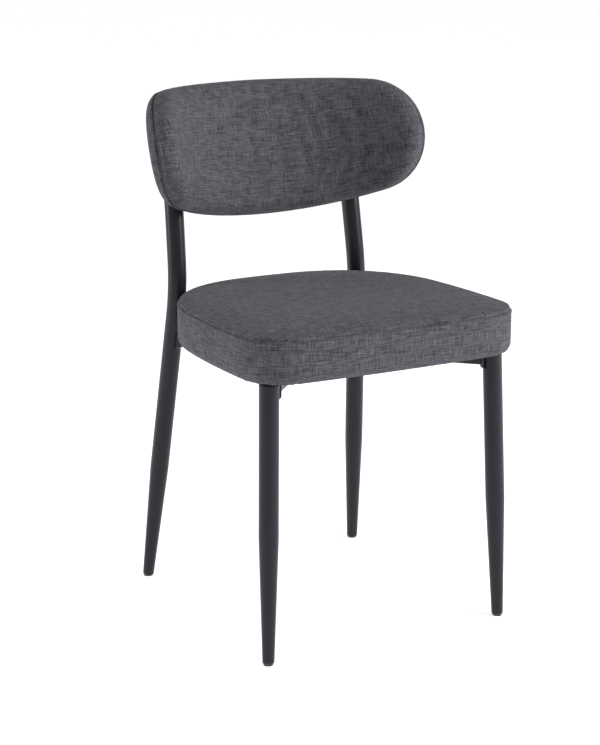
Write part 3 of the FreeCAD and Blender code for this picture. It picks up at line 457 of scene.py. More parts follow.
@dataclass(frozen=True)
class PlatedSteel(Coating):
    """Zinc-plated or blackened steel with drawn lines and small stains."""

    tint: Colour = (0.52, 0.52, 0.50)
    stained: Colour = (0.30, 0.29, 0.27)
    metal: float = 1.0
    roughness: float = 0.34
    stain_scale: float = 420.0
    line_across: float = 4000.0
    line_along: float = 300.0

    def draw(self, graph: Graph) -> bpy.types.Material:
        """Draw the finish.

        Args:
            graph: an empty tree.

        Returns:
            The material.
        """
        place = graph.coordinates()
        stain = graph.noise(place, self.stain_scale, 4.0, 0.6).smooth(0.48, 0.70)
        drawn = graph.scaled(place, (self.line_across, self.line_across, self.line_along))
        lines = graph.noise(drawn, 1.0, 2.0)
        colour = graph.blend(stain, self.tint, self.stained)
        rough = self.roughness + stain * 0.18 + (lines - 0.5) * 0.12
        return graph.finish(Base_Color=colour, Roughness=rough, Metallic=self.metal,
                            Normal=graph.bump(lines, 0.12, 0.05 * MM))


@dataclass(frozen=True)
class Thread(Coating):
    """Twisted sewing thread."""

    tint: Colour = (0.016, 0.016, 0.018)
    pale: Colour = (0.040, 0.040, 0.043)
    twist_scale: float = 2600.0

    def draw(self, graph: Graph) -> bpy.types.Material:
        """Draw the finish.

        Args:
            graph: an empty tree.

        Returns:
            The material.
        """
        twist = graph.noise(graph.coordinates(), self.twist_scale, 2.0)
        colour = graph.blend(twist, self.tint, self.pale)
        return graph.finish(Base_Color=colour, Roughness=0.7 + twist * 0.1,
                            Normal=graph.bump(twist, 0.4, 0.1 * MM), Sheen_Weight=0.1)


@dataclass(frozen=True)
class StudioFloor(Coating):
    """A pale seamless floor."""

    tint: Colour = (0.90, 0.90, 0.91)
    glow: float = 0.55
    cloud_scale: float = 0.8
    cloud_tone: float = 0.99

    def draw(self, graph: Graph) -> bpy.types.Material:
        """Draw the finish.

        Args:
            graph: an empty tree.

        Returns:
            The material.
        """
        cloud = graph.noise(graph.coordinates(), self.cloud_scale, 2.0)
        colour = graph.blend(cloud, self.tint, tuple(c * self.cloud_tone for c in self.tint))
        return graph.finish(Base_Color=colour, Roughness=0.75 + cloud * 0.05,
                            Emission_Color=colour, Emission_Strength=self.glow, Specular_IOR_Level=0.1)


class Finish(Enum):
    """The chair's finishes, by the record's material slot."""

    FRAME = "black_powder_coat"
    PLASTIC = "black_plastic"
    RUBBER = "black_rubber"
    LINEN = "charcoal_linen"
    FOAM = "foam"
    PLYWOOD = "plywood"
    FELT = "black_felt"
    ZINC = "zinc_steel"
    FASTENER = "black_fastener"


FINISH_MAKERS: dict[Finish, Coating] = {
    Finish.FRAME: PowderCoat(),
    Finish.PLASTIC: MouldedPlastic(),
    Finish.RUBBER: MouldedPlastic(tint=(0.018, 0.018, 0.018), roughness=0.75, grain=700.0),
    Finish.LINEN: Linen(),
    Finish.FOAM: SpunFelt(tint=(0.66, 0.62, 0.50), pale=(0.80, 0.77, 0.66), pitch=3.0 * MM),
    Finish.PLYWOOD: Plywood(),
    Finish.FELT: SpunFelt(),
    Finish.ZINC: PlatedSteel(),
    Finish.FASTENER: PlatedSteel(tint=(0.045, 0.045, 0.048), stained=(0.07, 0.07, 0.07), metal=0.35,
                                 roughness=0.40),
}


@dataclass
class Wardrobe:
    """The finishes, each made once."""

    made: dict[Finish, bpy.types.Material] = field(default_factory=dict)

    def get(self, finish: Finish) -> bpy.types.Material:
        """The material of a finish, made on first use."""
        if finish not in self.made:
            self.made[finish] = FINISH_MAKERS[finish].build(finish.value)
        return self.made[finish]

    def dress_frame(self) -> None:
        """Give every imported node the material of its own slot."""
        slots = {row["node"]: row["material_slot"] for row in frame["record"]["subparts"]}
        for node, piece in frame["nodes"].items():
            piece.data.materials.clear()
            piece.data.materials.append(self.get(Finish(slots[node])))


# ---------------------------------------------------------------- plane outlines


def hull(points: np.ndarray) -> np.ndarray:
    """The convex outline of plane points, counter-clockwise.

    Args:
        points: rows of two numbers.

    Returns:
        The outline's corners.
    """
    rows = sorted({(round(float(x), 6), round(float(y), 6)) for x, y in points})

    def chain(ordered: Iterable[tuple[float, float]]) -> list[tuple[float, float]]:
        """One side of the outline."""
        side: list[tuple[float, float]] = []
        for p in ordered:
            while len(side) > 1 and (
                (side[-1][0] - side[-2][0]) * (p[1] - side[-2][1])
                - (side[-1][1] - side[-2][1]) * (p[0] - side[-2][0])
            ) <= 0:
                side.pop()
            side.append(p)
        return side[:-1]

    return np.array(chain(rows) + chain(reversed(rows)))


def closed(line: np.ndarray) -> np.ndarray:
    """A line with its first point again at its end."""
    return np.concatenate([line, line[:1]])


def distances(line: np.ndarray) -> np.ndarray:
    """Distance along a line to each of its points."""
    steps = np.linalg.norm(np.diff(line, axis=0), axis=1)
    return np.concatenate([[0.0], np.cumsum(steps)])


def spread(points: np.ndarray, count: int) -> np.ndarray:
    """Space points evenly along an open line.

    Args:
        points: the line.
        count: how many are wanted.

    Returns:
        The points, without the line's last one.
    """
    along = distances(points)
    wanted = np.linspace(0.0, along[-1], count + 1)[:-1]
    return np.stack([np.interp(wanted, along, points[:, k]) for k in range(2)], axis=1)


def smoothed(rows: np.ndarray, passes: int) -> np.ndarray:
    """Even out a closed line of values along itself.

    Args:
        rows: the values.
        passes: times that each is averaged with its neighbours.

    Returns:
        The smoother values.
    """
    for _ in range(passes):
        rows = (np.roll(rows, 1, 0) + 2 * rows + np.roll(rows, -1, 0)) / 4
    return rows


def quartered(outline: np.ndarray, across: int, up: int) -> np.ndarray:
    """An outline resampled so that its four rounded corners fall on known points.

    Args:
        outline: the convex outline, counter-clockwise.
        across: points along the lower and the upper side.
        up: points along each end.

    Returns:
        The points, from the lower left corner on.
    """
    corners = [int(np.argmax(outline @ np.array(d))) for d in ((-1, -1), (1, -1), (1, 1), (-1, 1))]
    sides = []
    for i, count in enumerate((across, up, across, up)):
        start, end = corners[i], corners[(i + 1) % 4]
        rolled = np.roll(outline, -start, axis=0)
        length = (end - start) % len(outline)
        sides.append(spread(rolled[: length + 1], count))
    return smoothed(np.concatenate(sides), 2)


def outward(points: np.ndarray) -> np.ndarray:
    """Find which way a closed line faces at each of its points.

    Args:
        points: the line, counter-clockwise.

    Returns:
        Unit normals, outwards and a little smoothed.
    """
    run = np.roll(points, -1, 0) - np.roll(points, 1, 0)
    normal = np.stack([run[:, 1], -run[:, 0]], axis=1)
    normal /= np.linalg.norm(normal, axis=1)[:, None]
    normal = smoothed(normal, 3)
    return normal / np.linalg.norm(normal, axis=1)[:, None]


def filled(ring: np.ndarray, across: int, up: int) -> np.ndarray:
    """A grid that fills a ring of points, as rows from the lower side to the upper one.

    Args:
        ring: the ring, from its lower left corner on.
        across: steps along the lower side.
        up: steps along an end.

    Returns:
        The grid's points, up + 1 rows of across + 1.
    """
    low = ring[: across + 1]
    right = ring[across: across + up + 1]
    top = ring[across + up: 2 * across + up + 1][::-1]
    left = np.concatenate([ring[2 * across + up:], ring[:1]])[::-1]
    u = np.linspace(0, 1, across + 1)[None, :, None]
    v = np.linspace(0, 1, up + 1)[:, None, None]
    sides = (1 - v) * low[None] + v * top[None] + (1 - u) * left[:, None] + u * right[:, None]
    corners = (1 - u) * (1 - v) * low[0] + u * (1 - v) * low[-1] + (1 - u) * v * top[0] + u * v * top[-1]
    return sides - corners


# ---------------------------------------------------------------- sewn pads


@dataclass
class Rim:
    """A pad's edge in section: how far each ring is inside the outline, and its depth."""

    inset: list[float] = field(default_factory=list)
    depth: list[float] = field(default_factory=list)

    def line(self, to: tuple[float, float], steps: int) -> None:
        """Run straight on.

        Args:
            to: the inset and the depth where the run ends.
            steps: rings on the way.
        """
        start = (self.inset[-1], self.depth[-1])
        for i in range(1, steps + 1):
            share = i / steps
            self.inset.append(start[0] + (to[0] - start[0]) * share)
            self.depth.append(start[1] + (to[1] - start[1]) * share)

    def quarter(self, radius: float, rising: bool, steps: int) -> None:
        """Turn a quarter round: outwards to the outline, or inwards from it.

        Args:
            radius: of the turn.
            rising: whether the rim turns from the face out to the side.
            steps: rings in the turn.
        """
        inset, depth = self.inset[-1], self.depth[-1]
        for i in range(1, steps + 1):
            angle = math.pi / 2 * i / steps
            if rising:
                self.inset.append(inset - radius * math.sin(angle))
                self.depth.append(depth - radius * (1 - math.cos(angle)))
            else:
                self.inset.append(inset + radius * (1 - math.cos(angle)))
                self.depth.append(depth - radius * math.sin(angle))

    def arc_length(self) -> np.ndarray:
        """Distance along the section to each ring."""
        steps = np.hypot(np.diff(self.inset), np.diff(self.depth))
        return np.concatenate([[0.0], np.cumsum(steps)])


@dataclass
class Seam:
    """A sewn seam: a narrow valley between two raised allowances."""

    at: float
    valley: float = 1.9 * MM
    width: float = 1.1 * MM
    swell: float = 0.7 * MM
    swell_away: float = 3.6 * MM
    swell_width: float = 1.8 * MM

    def profile(self, along: np.ndarray) -> np.ndarray:
        """Read the seam's section.

        Args:
            along: distances along the rim.

        Returns:
            Heights above the cloth.
        """
        away = along - self.at
        rise = np.exp(-((np.abs(away) - self.swell_away) / self.swell_width) ** 2) * self.swell
        return rise - self.valley * np.exp(-((away / self.width) ** 2))


@dataclass
class SewnPad:
    """A stuffed pad: an outline, a rim in section, and two faces, swollen as cloth under pressure."""

    name: str
    outline: np.ndarray
    rim: Rim
    seam: Seam
    place: Callable[[np.ndarray], np.ndarray]
    across: int
    up: int
    crown: float
    fill: float
    pressure: float = 4.0
    frames: int = 20
    cap: float = 24 * MM
    held_from: float = math.inf
    seam_hold: float = 5 * MM
    least_hold: float = 0.02
    piece: bpy.types.Object | None = None
    sewn: np.ndarray | None = None

    def points(self) -> tuple[np.ndarray, np.ndarray, list[tuple[int, ...]]]:
        """Work out the closed form.

        Returns:
            Its points, the ring or face each belongs to, and its faces.
        """
        normals = outward(self.outline)
        rings = []
        for inset, depth in zip(self.rim.inset, self.rim.depth):
            flat = self.outline - normals * inset
            rings.append(np.column_stack([flat, np.full(len(flat), depth)]))
        count = len(self.outline)
        rows = [*rings]
        level = [np.full(count, i) for i in range(len(rings))]
        faces: list[tuple[int, ...]] = []
        for i in range(len(rings) - 1):
            for j in range(count):
                k = (j + 1) % count
                faces.append((i * count + j, (i + 1) * count + j, (i + 1) * count + k, i * count + k))
        total = count * len(rings)
        for ring_index, mark, flip in ((0, -1, False), (len(rings) - 1, len(rings), True)):
            ring = rings[ring_index]
            grid = filled(ring, self.across, self.up)
            index = np.full(grid.shape[:2], -1)
            base = ring_index * count
            across, up = self.across, self.up
            index[0, :] = base + np.arange(across + 1)
            index[:, across] = base + across + np.arange(up + 1)
            index[up, ::-1] = base + across + up + np.arange(across + 1)
            left = base + (2 * across + up + np.arange(up + 1)) % count
            index[::-1, 0] = left
            inner = grid[1:-1, 1:-1].reshape(-1, 3)
            index[1:-1, 1:-1] = total + np.arange(len(inner)).reshape(up - 1, across - 1)
            total += len(inner)
            rows.append(inner)
            level.append(np.full(len(inner), mark))
            for v in range(up):
                for u in range(across):
                    quad = (index[v, u], index[v, u + 1], index[v + 1, u + 1], index[v + 1, u])
                    faces.append(tuple(int(q) for q in (quad[::-1] if flip else quad)))
        return np.concatenate(rows), np.concatenate(level), faces

    def build(self) -> bpy.types.Object:
        """Make the pad's mesh, swell it, sew it and map its cloth.

        Returns:
            The finished piece.
        """
        local, level, faces = self.points()
        self.piece = modelled(self.name, self.place(local), faces)
        self.map_cloth(local, level)
        rest = coordinates(self.piece)
        self.swell(level)
        self.settle(rest, level)
        self.sew(local, level)
        self.sewn = coordinates(self.piece)
        return self.piece

    def line_at(self, along: float) -> np.ndarray:
        """Follow the cloth round the pad.

        Args:
            along: distance along the rim.

        Returns:
            Points of the closed line at that distance.
        """
        rings = self.sewn[: len(self.outline) * len(self.rim.inset)].reshape(len(self.rim.inset), -1, 3)
        place = float(np.interp(along, self.rim.arc_length(), np.arange(len(rings))))
        lower = min(int(place), len(rings) - 2)
        return rings[lower] + (rings[lower + 1] - rings[lower]) * (place - lower)

    def held(self, level: np.ndarray) -> np.ndarray:
        """Say how firmly each point is held: at the seam, and wholly behind the held distance.

        Args:
            level: the ring that each point belongs to.

        Returns:
            Weights from 0 to 1.
        """
        along = self.rim.arc_length()
        ring = np.clip(level, 0, len(along) - 1)
        weight = np.exp(-(((along[ring] - self.seam.at) / self.seam_hold) ** 2))
        weight[level < 0] = 0.0
        weight[along[ring] > self.held_from] = 1.0
        return np.clip(weight, 0.0, 1.0)

    def swell(self, level: np.ndarray) -> None:
        """Blow the cover up as cloth under pressure, held at its seam and its rear.

        Args:
            level: the ring that each point belongs to.
        """
        piece = self.piece
        only(piece)
        group = piece.vertex_groups.new(name="held")
        for i, weight in enumerate(self.held(level)):
            if weight > self.least_hold:
                group.add([i], float(weight), "REPLACE")
        cloth = piece.modifiers.new("cover", "CLOTH")
        settings = cloth.settings
        settings.quality = 6
        settings.mass = 0.35
        settings.tension_stiffness = settings.compression_stiffness = 18
        settings.shear_stiffness = 6
        settings.bending_stiffness = 1.2
        settings.use_pressure = True
        settings.uniform_pressure_force = self.pressure
        settings.vertex_group_mass = group.name
        settings.effector_weights.gravity = 0.0
        cloth.collision_settings.use_collision = False
        scene = bpy.context.scene
        cloth.point_cache.frame_start, cloth.point_cache.frame_end = 1, self.frames
        for number in range(1, self.frames + 1):
            scene.frame_set(number)
        bpy.ops.object.modifier_apply(modifier=cloth.name)
        scene.frame_set(1)

    def settle(self, rest: np.ndarray, level: np.ndarray) -> None:
        """Scale the swelling to the pad's crown and cap it.

        Args:
            rest: points before the swelling.
            level: the ring that each point belongs to.
        """
        moved = coordinates(self.piece) - rest
        reach = np.linalg.norm(moved, axis=1)
        front = reach[level < 0]
        scale = self.crown / max(float(front.max()), 1e-6)
        reach_scaled = np.maximum(reach * scale, 1e-9)
        capped = np.minimum(reach_scaled, self.cap)
        place_points(self.piece, rest + moved * (scale * capped / reach_scaled)[:, None])

    def sew(self, local: np.ndarray, level: np.ndarray) -> None:
        """Draw the seam in and let the cloth gather beside it.

        Args:
            local: points in the pad's own frame.
            level: the ring that each point belongs to.
        """
        points = coordinates(self.piece)
        self.piece.data.update()
        normals = np.array([tuple(v.normal) for v in self.piece.data.vertices])
        along = self.rim.arc_length()
        on_rim = (level >= 0) & (level < len(along))
        ring = np.clip(level, 0, len(along) - 1)
        rise = np.where(on_rim, self.seam.profile(along[ring]), 0.0)
        rise += self.gathers(local, level, along[ring])
        place_points(self.piece, points + normals * rise[:, None])

    def gathers(self, local: np.ndarray, level: np.ndarray, along: np.ndarray) -> np.ndarray:
        """Extra height of the cloth's small folds; none unless a pad says so."""
        return np.zeros(len(local))

    def map_cloth(self, local: np.ndarray, level: np.ndarray) -> None:
        """Lay the weave flat on each panel: the face, the side and the rear, in metres.

        Args:
            local: points in the pad's own frame.
            level: the ring that each point belongs to.
        """
        mesh = self.piece.data
        along = self.rim.arc_length()
        count = len(self.outline)
        normals = outward(self.outline)
        walk = distances(closed(self.outline))
        rings = len(along)
        layer = mesh.uv_layers.new(name=WEAVE_MAP)
        first = self.outline - normals * self.rim.inset[0]
        flat_face = np.zeros((len(local), 2))
        flat_rear = np.zeros((len(local), 2))
        last = self.outline - normals * self.rim.inset[-1]
        for i in range(rings):
            rows = slice(i * count, (i + 1) * count)
            flat_face[rows] = first + normals * along[i]
            flat_rear[rows] = last + normals * (along[-1] - along[i])
        inner = level < 0
        flat_face[inner] = local[inner][:, :2]
        inner = level >= rings
        flat_rear[inner] = local[inner][:, :2]
        for polygon in mesh.polygons:
            corners = list(polygon.vertices)
            levels = level[corners]
            middle = along[np.clip(levels, 0, rings - 1)].mean()
            for k, loop in enumerate(polygon.loop_indices):
                vertex = corners[k]
                if levels.min() < 0 or self.panel_of(middle) == 0:
                    uv = flat_face[vertex]
                elif levels.max() >= rings or self.panel_of(middle) == 2:
                    uv = flat_rear[vertex] + REAR_AT
                else:
                    step = vertex % count
                    wraps = step == 0 and max(v % count for v in corners) == count - 1
                    uv = (SIDE_AT[0] + walk[count if wraps else step], SIDE_AT[1] - along[level[vertex]])
                layer.data[loop].uv = (float(uv[0]), float(uv[1]))

    def panel_of(self, along: float) -> int:
        """Which panel a place on the rim belongs to: 0 the face, 1 the side, 2 the rear."""
        return 0 if along < self.seam.at else 2


def linked(name: str, data: bpy.types.ID) -> bpy.types.Object:
    """Put a mesh, a lamp or a camera in the scene.

    Args:
        name: the object's name.
        data: what it shows.

    Returns:
        The object.
    """
    made = bpy.data.objects.new(name, data)
    bpy.context.scene.collection.objects.link(made)
    return made


def modelled(name: str, rows: np.ndarray, faces: list[tuple[int, ...]]) -> bpy.types.Object:
    """Put a mesh of given points and faces in the scene.

    Args:
        name: of the mesh and its object.
        rows: the points.
        faces: indices of each face's points.

    Returns:
        The object.
    """
    mesh = bpy.data.meshes.new(name)
    mesh.from_pydata([tuple(p) for p in rows], [], faces)
    mesh.update()
    return linked(name, mesh)


def only(piece: bpy.types.Object) -> None:
    """Select and activate one object alone.

    Args:
        piece: the object.
    """
    if bpy.context.object and bpy.context.object.mode != "OBJECT":
        bpy.ops.object.mode_set(mode="OBJECT")
    bpy.ops.object.select_all(action="DESELECT")
    piece.select_set(True)
    bpy.context.view_layer.objects.active = piece


def coordinates(piece: bpy.types.Object) -> np.ndarray:
    """Read a mesh's points.

    Args:
        piece: the mesh's object.

    Returns:
        Rows of three numbers.
    """
    rows = np.empty(len(piece.data.vertices) * 3, np.float64)
    piece.data.vertices.foreach_get("co", rows)
    return rows.reshape(-1, 3)


def place_points(piece: bpy.types.Object, rows: np.ndarray) -> None:
    """Move a mesh's points."""
    piece.data.vertices.foreach_set("co", np.asarray(rows, np.float64).ravel())
    piece.data.update()


def node_points(node: str) -> np.ndarray:
    """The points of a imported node."""
    return coordinates(frame["nodes"][node])


def from_bars(flat: np.ndarray) -> np.ndarray:
    """Measure in plan from the nearer of the two diagonal bars under the seat.

    Args:
        flat: places in plan.

    Returns:
        Distances from the bar's middle line.
    """
    rows = []
    for side in (1, -1):
        front = np.array(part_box("cross_bar_long")[0])[:2] * (side, 1)
        rear = np.array(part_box("cross_bar_long")[1])[:2] * (side, 1)
        run = (rear - front) / np.linalg.norm(rear - front)
        rows.append(np.abs((flat[:, 0] - front[0]) * run[1] - (flat[:, 1] - front[1]) * run[0]))
    return np.minimum(*rows)


def apply_all(piece: bpy.types.Object) -> None:
    """Apply every modifier of a piece in order.

    Args:
        piece: the object.
    """
    only(piece)
    for modifier in list(piece.modifiers):
        bpy.ops.object.modifier_apply(modifier=modifier.name)


def refine(piece: bpy.types.Object, levels: int = 1) -> None:
    """Subdivide a piece smoothly and shade it smooth.

    Args:
        piece: the object.
        levels: times that it is subdivided.
    """
    modifier = piece.modifiers.new("refine", "SUBSURF")
    modifier.levels = modifier.render_levels = levels
    apply_all(piece)
    for polygon in piece.data.polygons:
        polygon.use_smooth = True


def folds(walk: np.ndarray, pitch: float, seed: int) -> np.ndarray:
    """Irregular small folds along a closed edge.

    Args:
        walk: distance along the edge.
        pitch: from fold to fold, about.
        seed: of the draws.

    Returns:
        Heights from -1 to 1.
    """
    draw = np.random.default_rng(seed)
    length = float(walk.max()) + 1e-9
    total = np.zeros(len(walk))
    for weight in FOLD_WEIGHTS:
        turns = max(1, round(length / pitch * draw.uniform(0.55, 1.5)))
        total += weight * np.sin(2 * math.pi * turns * walk / length + draw.uniform(0, 2 * math.pi))
    return total / sum(FOLD_WEIGHTS)


@dataclass
class SeatPad(SewnPad):
    """The boxed seat, its lower edge turned under the board in small gathers."""

    gather: float = 3.2 * MM
    gather_pitch: float = 13 * MM
    gather_width: float = 10 * MM
    gather_seed: int = 7
    least_gather: float = 0.12
    hem_at: float = 85 * MM
    pucker: float = 0.16 * MM
    pucker_pitch: float = 6 * MM
    pucker_off: float = 3.5 * MM
    pucker_width: float = 2.5 * MM
    pucker_seed: int = 19

    def gathers(self, local: np.ndarray, level: np.ndarray, along: np.ndarray) -> np.ndarray:
        """Make small pleats round the turned-under edge, deeper at the corners, and puckers at the seam.

        Args:
            local: points in the pad's own frame.
            level: the ring that each point belongs to.
            along: distance along the rim to that ring.

        Returns:
            Extra heights.
        """
        walk = distances(closed(self.outline))[:-1]
        normals = outward(self.outline)
        bend = smoothed(np.linalg.norm(np.roll(normals, -1, 0) - np.roll(normals, 1, 0), axis=1), 8)
        share = np.clip(bend / bend.max(), self.least_gather, 1.0)
        wave = folds(walk, self.gather_pitch, self.gather_seed) * share
        wave[self.outline[:, 1] > 0] = np.minimum(wave[self.outline[:, 1] > 0], 0.0)
        heights = np.zeros(len(local))
        on_rim = (level >= 0) & (level < len(self.rim.inset))
        step = np.arange(len(local)) % len(self.outline)
        window = np.exp(-(((along - self.hem_at) / self.gather_width) ** 2))
        heights[on_rim] = (wave[step] * window * self.gather)[on_rim]
        puckers = folds(walk, self.pucker_pitch, self.pucker_seed)
        off = np.abs(along - self.seam.at) - self.pucker_off
        beside = np.exp(-((off / self.pucker_width) ** 2))
        heights[on_rim] += (puckers[step] * beside * self.pucker)[on_rim]
        return heights

    def panel_of(self, along: float) -> int:
        """The top panel ends at the seam; the side band runs on under the board."""
        return 0 if along < self.seam.at else 1


@dataclass
class BackRest(SewnPad):
    """The curved back, its front cover pulled round the edge to the rear seam."""

    pull: float = 0.16 * MM
    corner_from: tuple[float, float] = (0.62, 0.20)
    corner_gain: float = 7.0
    slant: float = 0.55
    long_wave: float = 11 * MM
    short_wave: float = 7.3 * MM
    front_rings: int = 12
    pucker: float = 0.22 * MM
    pucker_pitch: float = 9 * MM
    pucker_width: float = 6 * MM
    pucker_seed: int = 31

    def gathers(self, local: np.ndarray, level: np.ndarray, along: np.ndarray) -> np.ndarray:
        """Make faint tension lines that fan out from the rounded ends, and puckers at the seam.

        Args:
            local: points in the pad's own frame.
            level: the ring that each point belongs to.
            along: distance along the rim to that ring.

        Returns:
            Extra heights.
        """
        half = np.abs(self.outline).max(0)
        middle = (self.outline.max(0) + self.outline.min(0)) / 2
        flat = (local[:, :2] - middle) / half
        corner = np.clip(np.abs(flat) - self.corner_from, 0, 1).prod(axis=1)
        turn = 2 * math.pi * (np.abs(local[:, 0]) * self.slant + np.abs(local[:, 1] - middle[1]))
        wave = np.sin(turn / self.long_wave) + 0.6 * np.sin(turn / self.short_wave + 1.0)
        front = (level < self.front_rings).astype(float)
        lines = wave * np.clip(corner * self.corner_gain, 0, 1) * self.pull * front
        puckers = folds(distances(closed(self.outline))[:-1], self.pucker_pitch, self.pucker_seed)
        step = np.arange(len(local)) % len(self.outline)
        on_rim = (level >= 0) & (level < len(self.rim.inset))
        beside = np.exp(-(((along - self.seam.at) / self.pucker_width) ** 2))
        lines[on_rim] += (puckers[step] * beside * self.pucker)[on_rim]
        return lines


@dataclass
class Stitching:
    """A row of top stitches laid on a pad, each turned down into the cloth at its ends."""

    name: str
    finishes: Wardrobe
    pitch: float = 5.0 * MM
    length: float = 3.6 * MM
    radius: float = 0.40 * MM
    sides: int = 6

    def stitch(self) -> bpy.types.Object:
        """Model one stitch along X.

        Returns:
            The stitch, at the origin.
        """
        bpy.ops.object.select_all(action="DESELECT")
        bpy.ops.mesh.primitive_cylinder_add(vertices=self.sides, radius=self.radius,
                                            depth=self.length * 0.5, rotation=(0.0, math.pi / 2, 0.0))
        piece = bpy.context.object
        bpy.ops.object.transform_apply(rotation=True)
        for side in (1, -1):
            bpy.ops.object.mode_set(mode="EDIT")
            bpy.ops.mesh.select_mode(type="FACE")
            bpy.ops.mesh.select_all(action="DESELECT")
            bpy.ops.object.mode_set(mode="OBJECT")
            for polygon in piece.data.polygons:
                polygon.select = polygon.normal.x * side > 0.9
            bpy.ops.object.mode_set(mode="EDIT")
            reach = {"value": (side * self.length * 0.25, 0.0, -self.radius * 1.6)}
            bpy.ops.mesh.extrude_region_move(TRANSFORM_OT_translate=reach)
            bpy.ops.transform.resize(value=(1.0, 0.6, 0.6))
            bpy.ops.object.mode_set(mode="OBJECT")
        return piece

    def lay(self, cloth: bpy.types.Object, line: np.ndarray) -> bpy.types.Object:
        """Copy the stitch along a closed line.

        Args:
            cloth: the pad that the row is sewn through.
            line: points of the line, near the pad's surface.

        Returns:
            The row as one piece.
        """
        tree = BVHTree.FromObject(cloth, bpy.context.evaluated_depsgraph_get())
        loop = closed(line)
        walk = distances(loop)
        count = round(walk[-1] / self.pitch)
        master = self.stitch()
        copies = []
        for i in range(count):
            middle = walk[-1] * (i + 0.5) / count
            start, end = (Vector([float(np.interp(middle + half, walk, loop[:, k])) for k in range(3)])
                          for half in (-self.length / 2, self.length / 2))
            place, normal, _, _ = tree.find_nearest((start + end) / 2)
            run = (end - start).normalized()
            side = normal.cross(run).normalized()
            turn = Matrix((run, side, run.cross(side))).transposed().to_4x4()
            mesh = master.data.copy()
            mesh.transform(Matrix.Translation(place + normal * self.radius * 0.2) @ turn)
            copies.append(linked(self.name, mesh))
        bpy.data.objects.remove(master)
        only(copies[0])
        for copy in copies:
            copy.select_set(True)
        bpy.ops.object.join()
        row = bpy.context.object
        row.name = self.name
        bpy.ops.object.shade_smooth()
        row.data.materials.append(Thread().build(self.name))
        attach(row, "root")
        LOG.info("%s: %d stitches", self.name, count)
        return row


@dataclass
class DustCover:
    """The felt under the seat, held up at its staples and over the cross bars, slack between them."""

    finishes: Wardrobe
    across: int = 48
    up: int = 44
    thickness: float = 0.5 * MM
    slack: float = 2.2 * MM
    pucker: float = 0.35 * MM
    bar_clear: float = 24 * MM
    bar_away: float = 70 * MM
    staple_reach: float = 3 * MM
    slack_away: float = 60 * MM
    pucker_away: float = 11 * MM
    pucker_reach: float = 30 * MM

    def drop(self, flat: np.ndarray) -> np.ndarray:
        """Say how far the felt hangs down.

        Args:
            flat: places in plan.

        Returns:
            Drops below the stapled edge.
        """
        staples = node_points("staples")[:, :2]
        near = np.array([np.linalg.norm(staples - p, axis=1).min() for p in flat])
        held = np.clip((near - self.staple_reach) / self.slack_away, 0, 1)
        free = np.clip((from_bars(flat) - self.bar_clear) / self.bar_away, 0, 1)
        ripple = np.clip((near - self.staple_reach) / self.pucker_away, 0, 1)
        ripple = ripple * np.exp(-((near / self.pucker_reach) ** 2))
        return self.slack * held * free + self.pucker * ripple * np.clip(free * 4, 0, 1)

    def build(self) -> None:
        """Build and dress the felt."""
        low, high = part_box("seat_dust_cover")
        ring = quartered(hull(node_points("seat_dust_cover")[:, :2]), self.across, self.up)
        flat = filled(ring, self.across, self.up).reshape(-1, 2)
        middle = (low.z + high.z) / 2
        rows = np.column_stack([flat, middle - self.drop(flat)])
        width = self.across + 1
        faces = [(v * width + u, (v + 1) * width + u, (v + 1) * width + u + 1, v * width + u + 1)
                 for v in range(self.up) for u in range(self.across)]
        piece = modelled("dust_cover", rows, faces)
        wall = piece.modifiers.new("wall", "SOLIDIFY")
        wall.thickness = self.thickness
        wall.offset = 0.0
        refine(piece)
        piece.data.materials.append(self.finishes.get(Finish.FELT))
        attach(piece, "root")
        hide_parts("seat_dust_cover")
        LOG.info("dust cover: %d faces", len(piece.data.polygons))


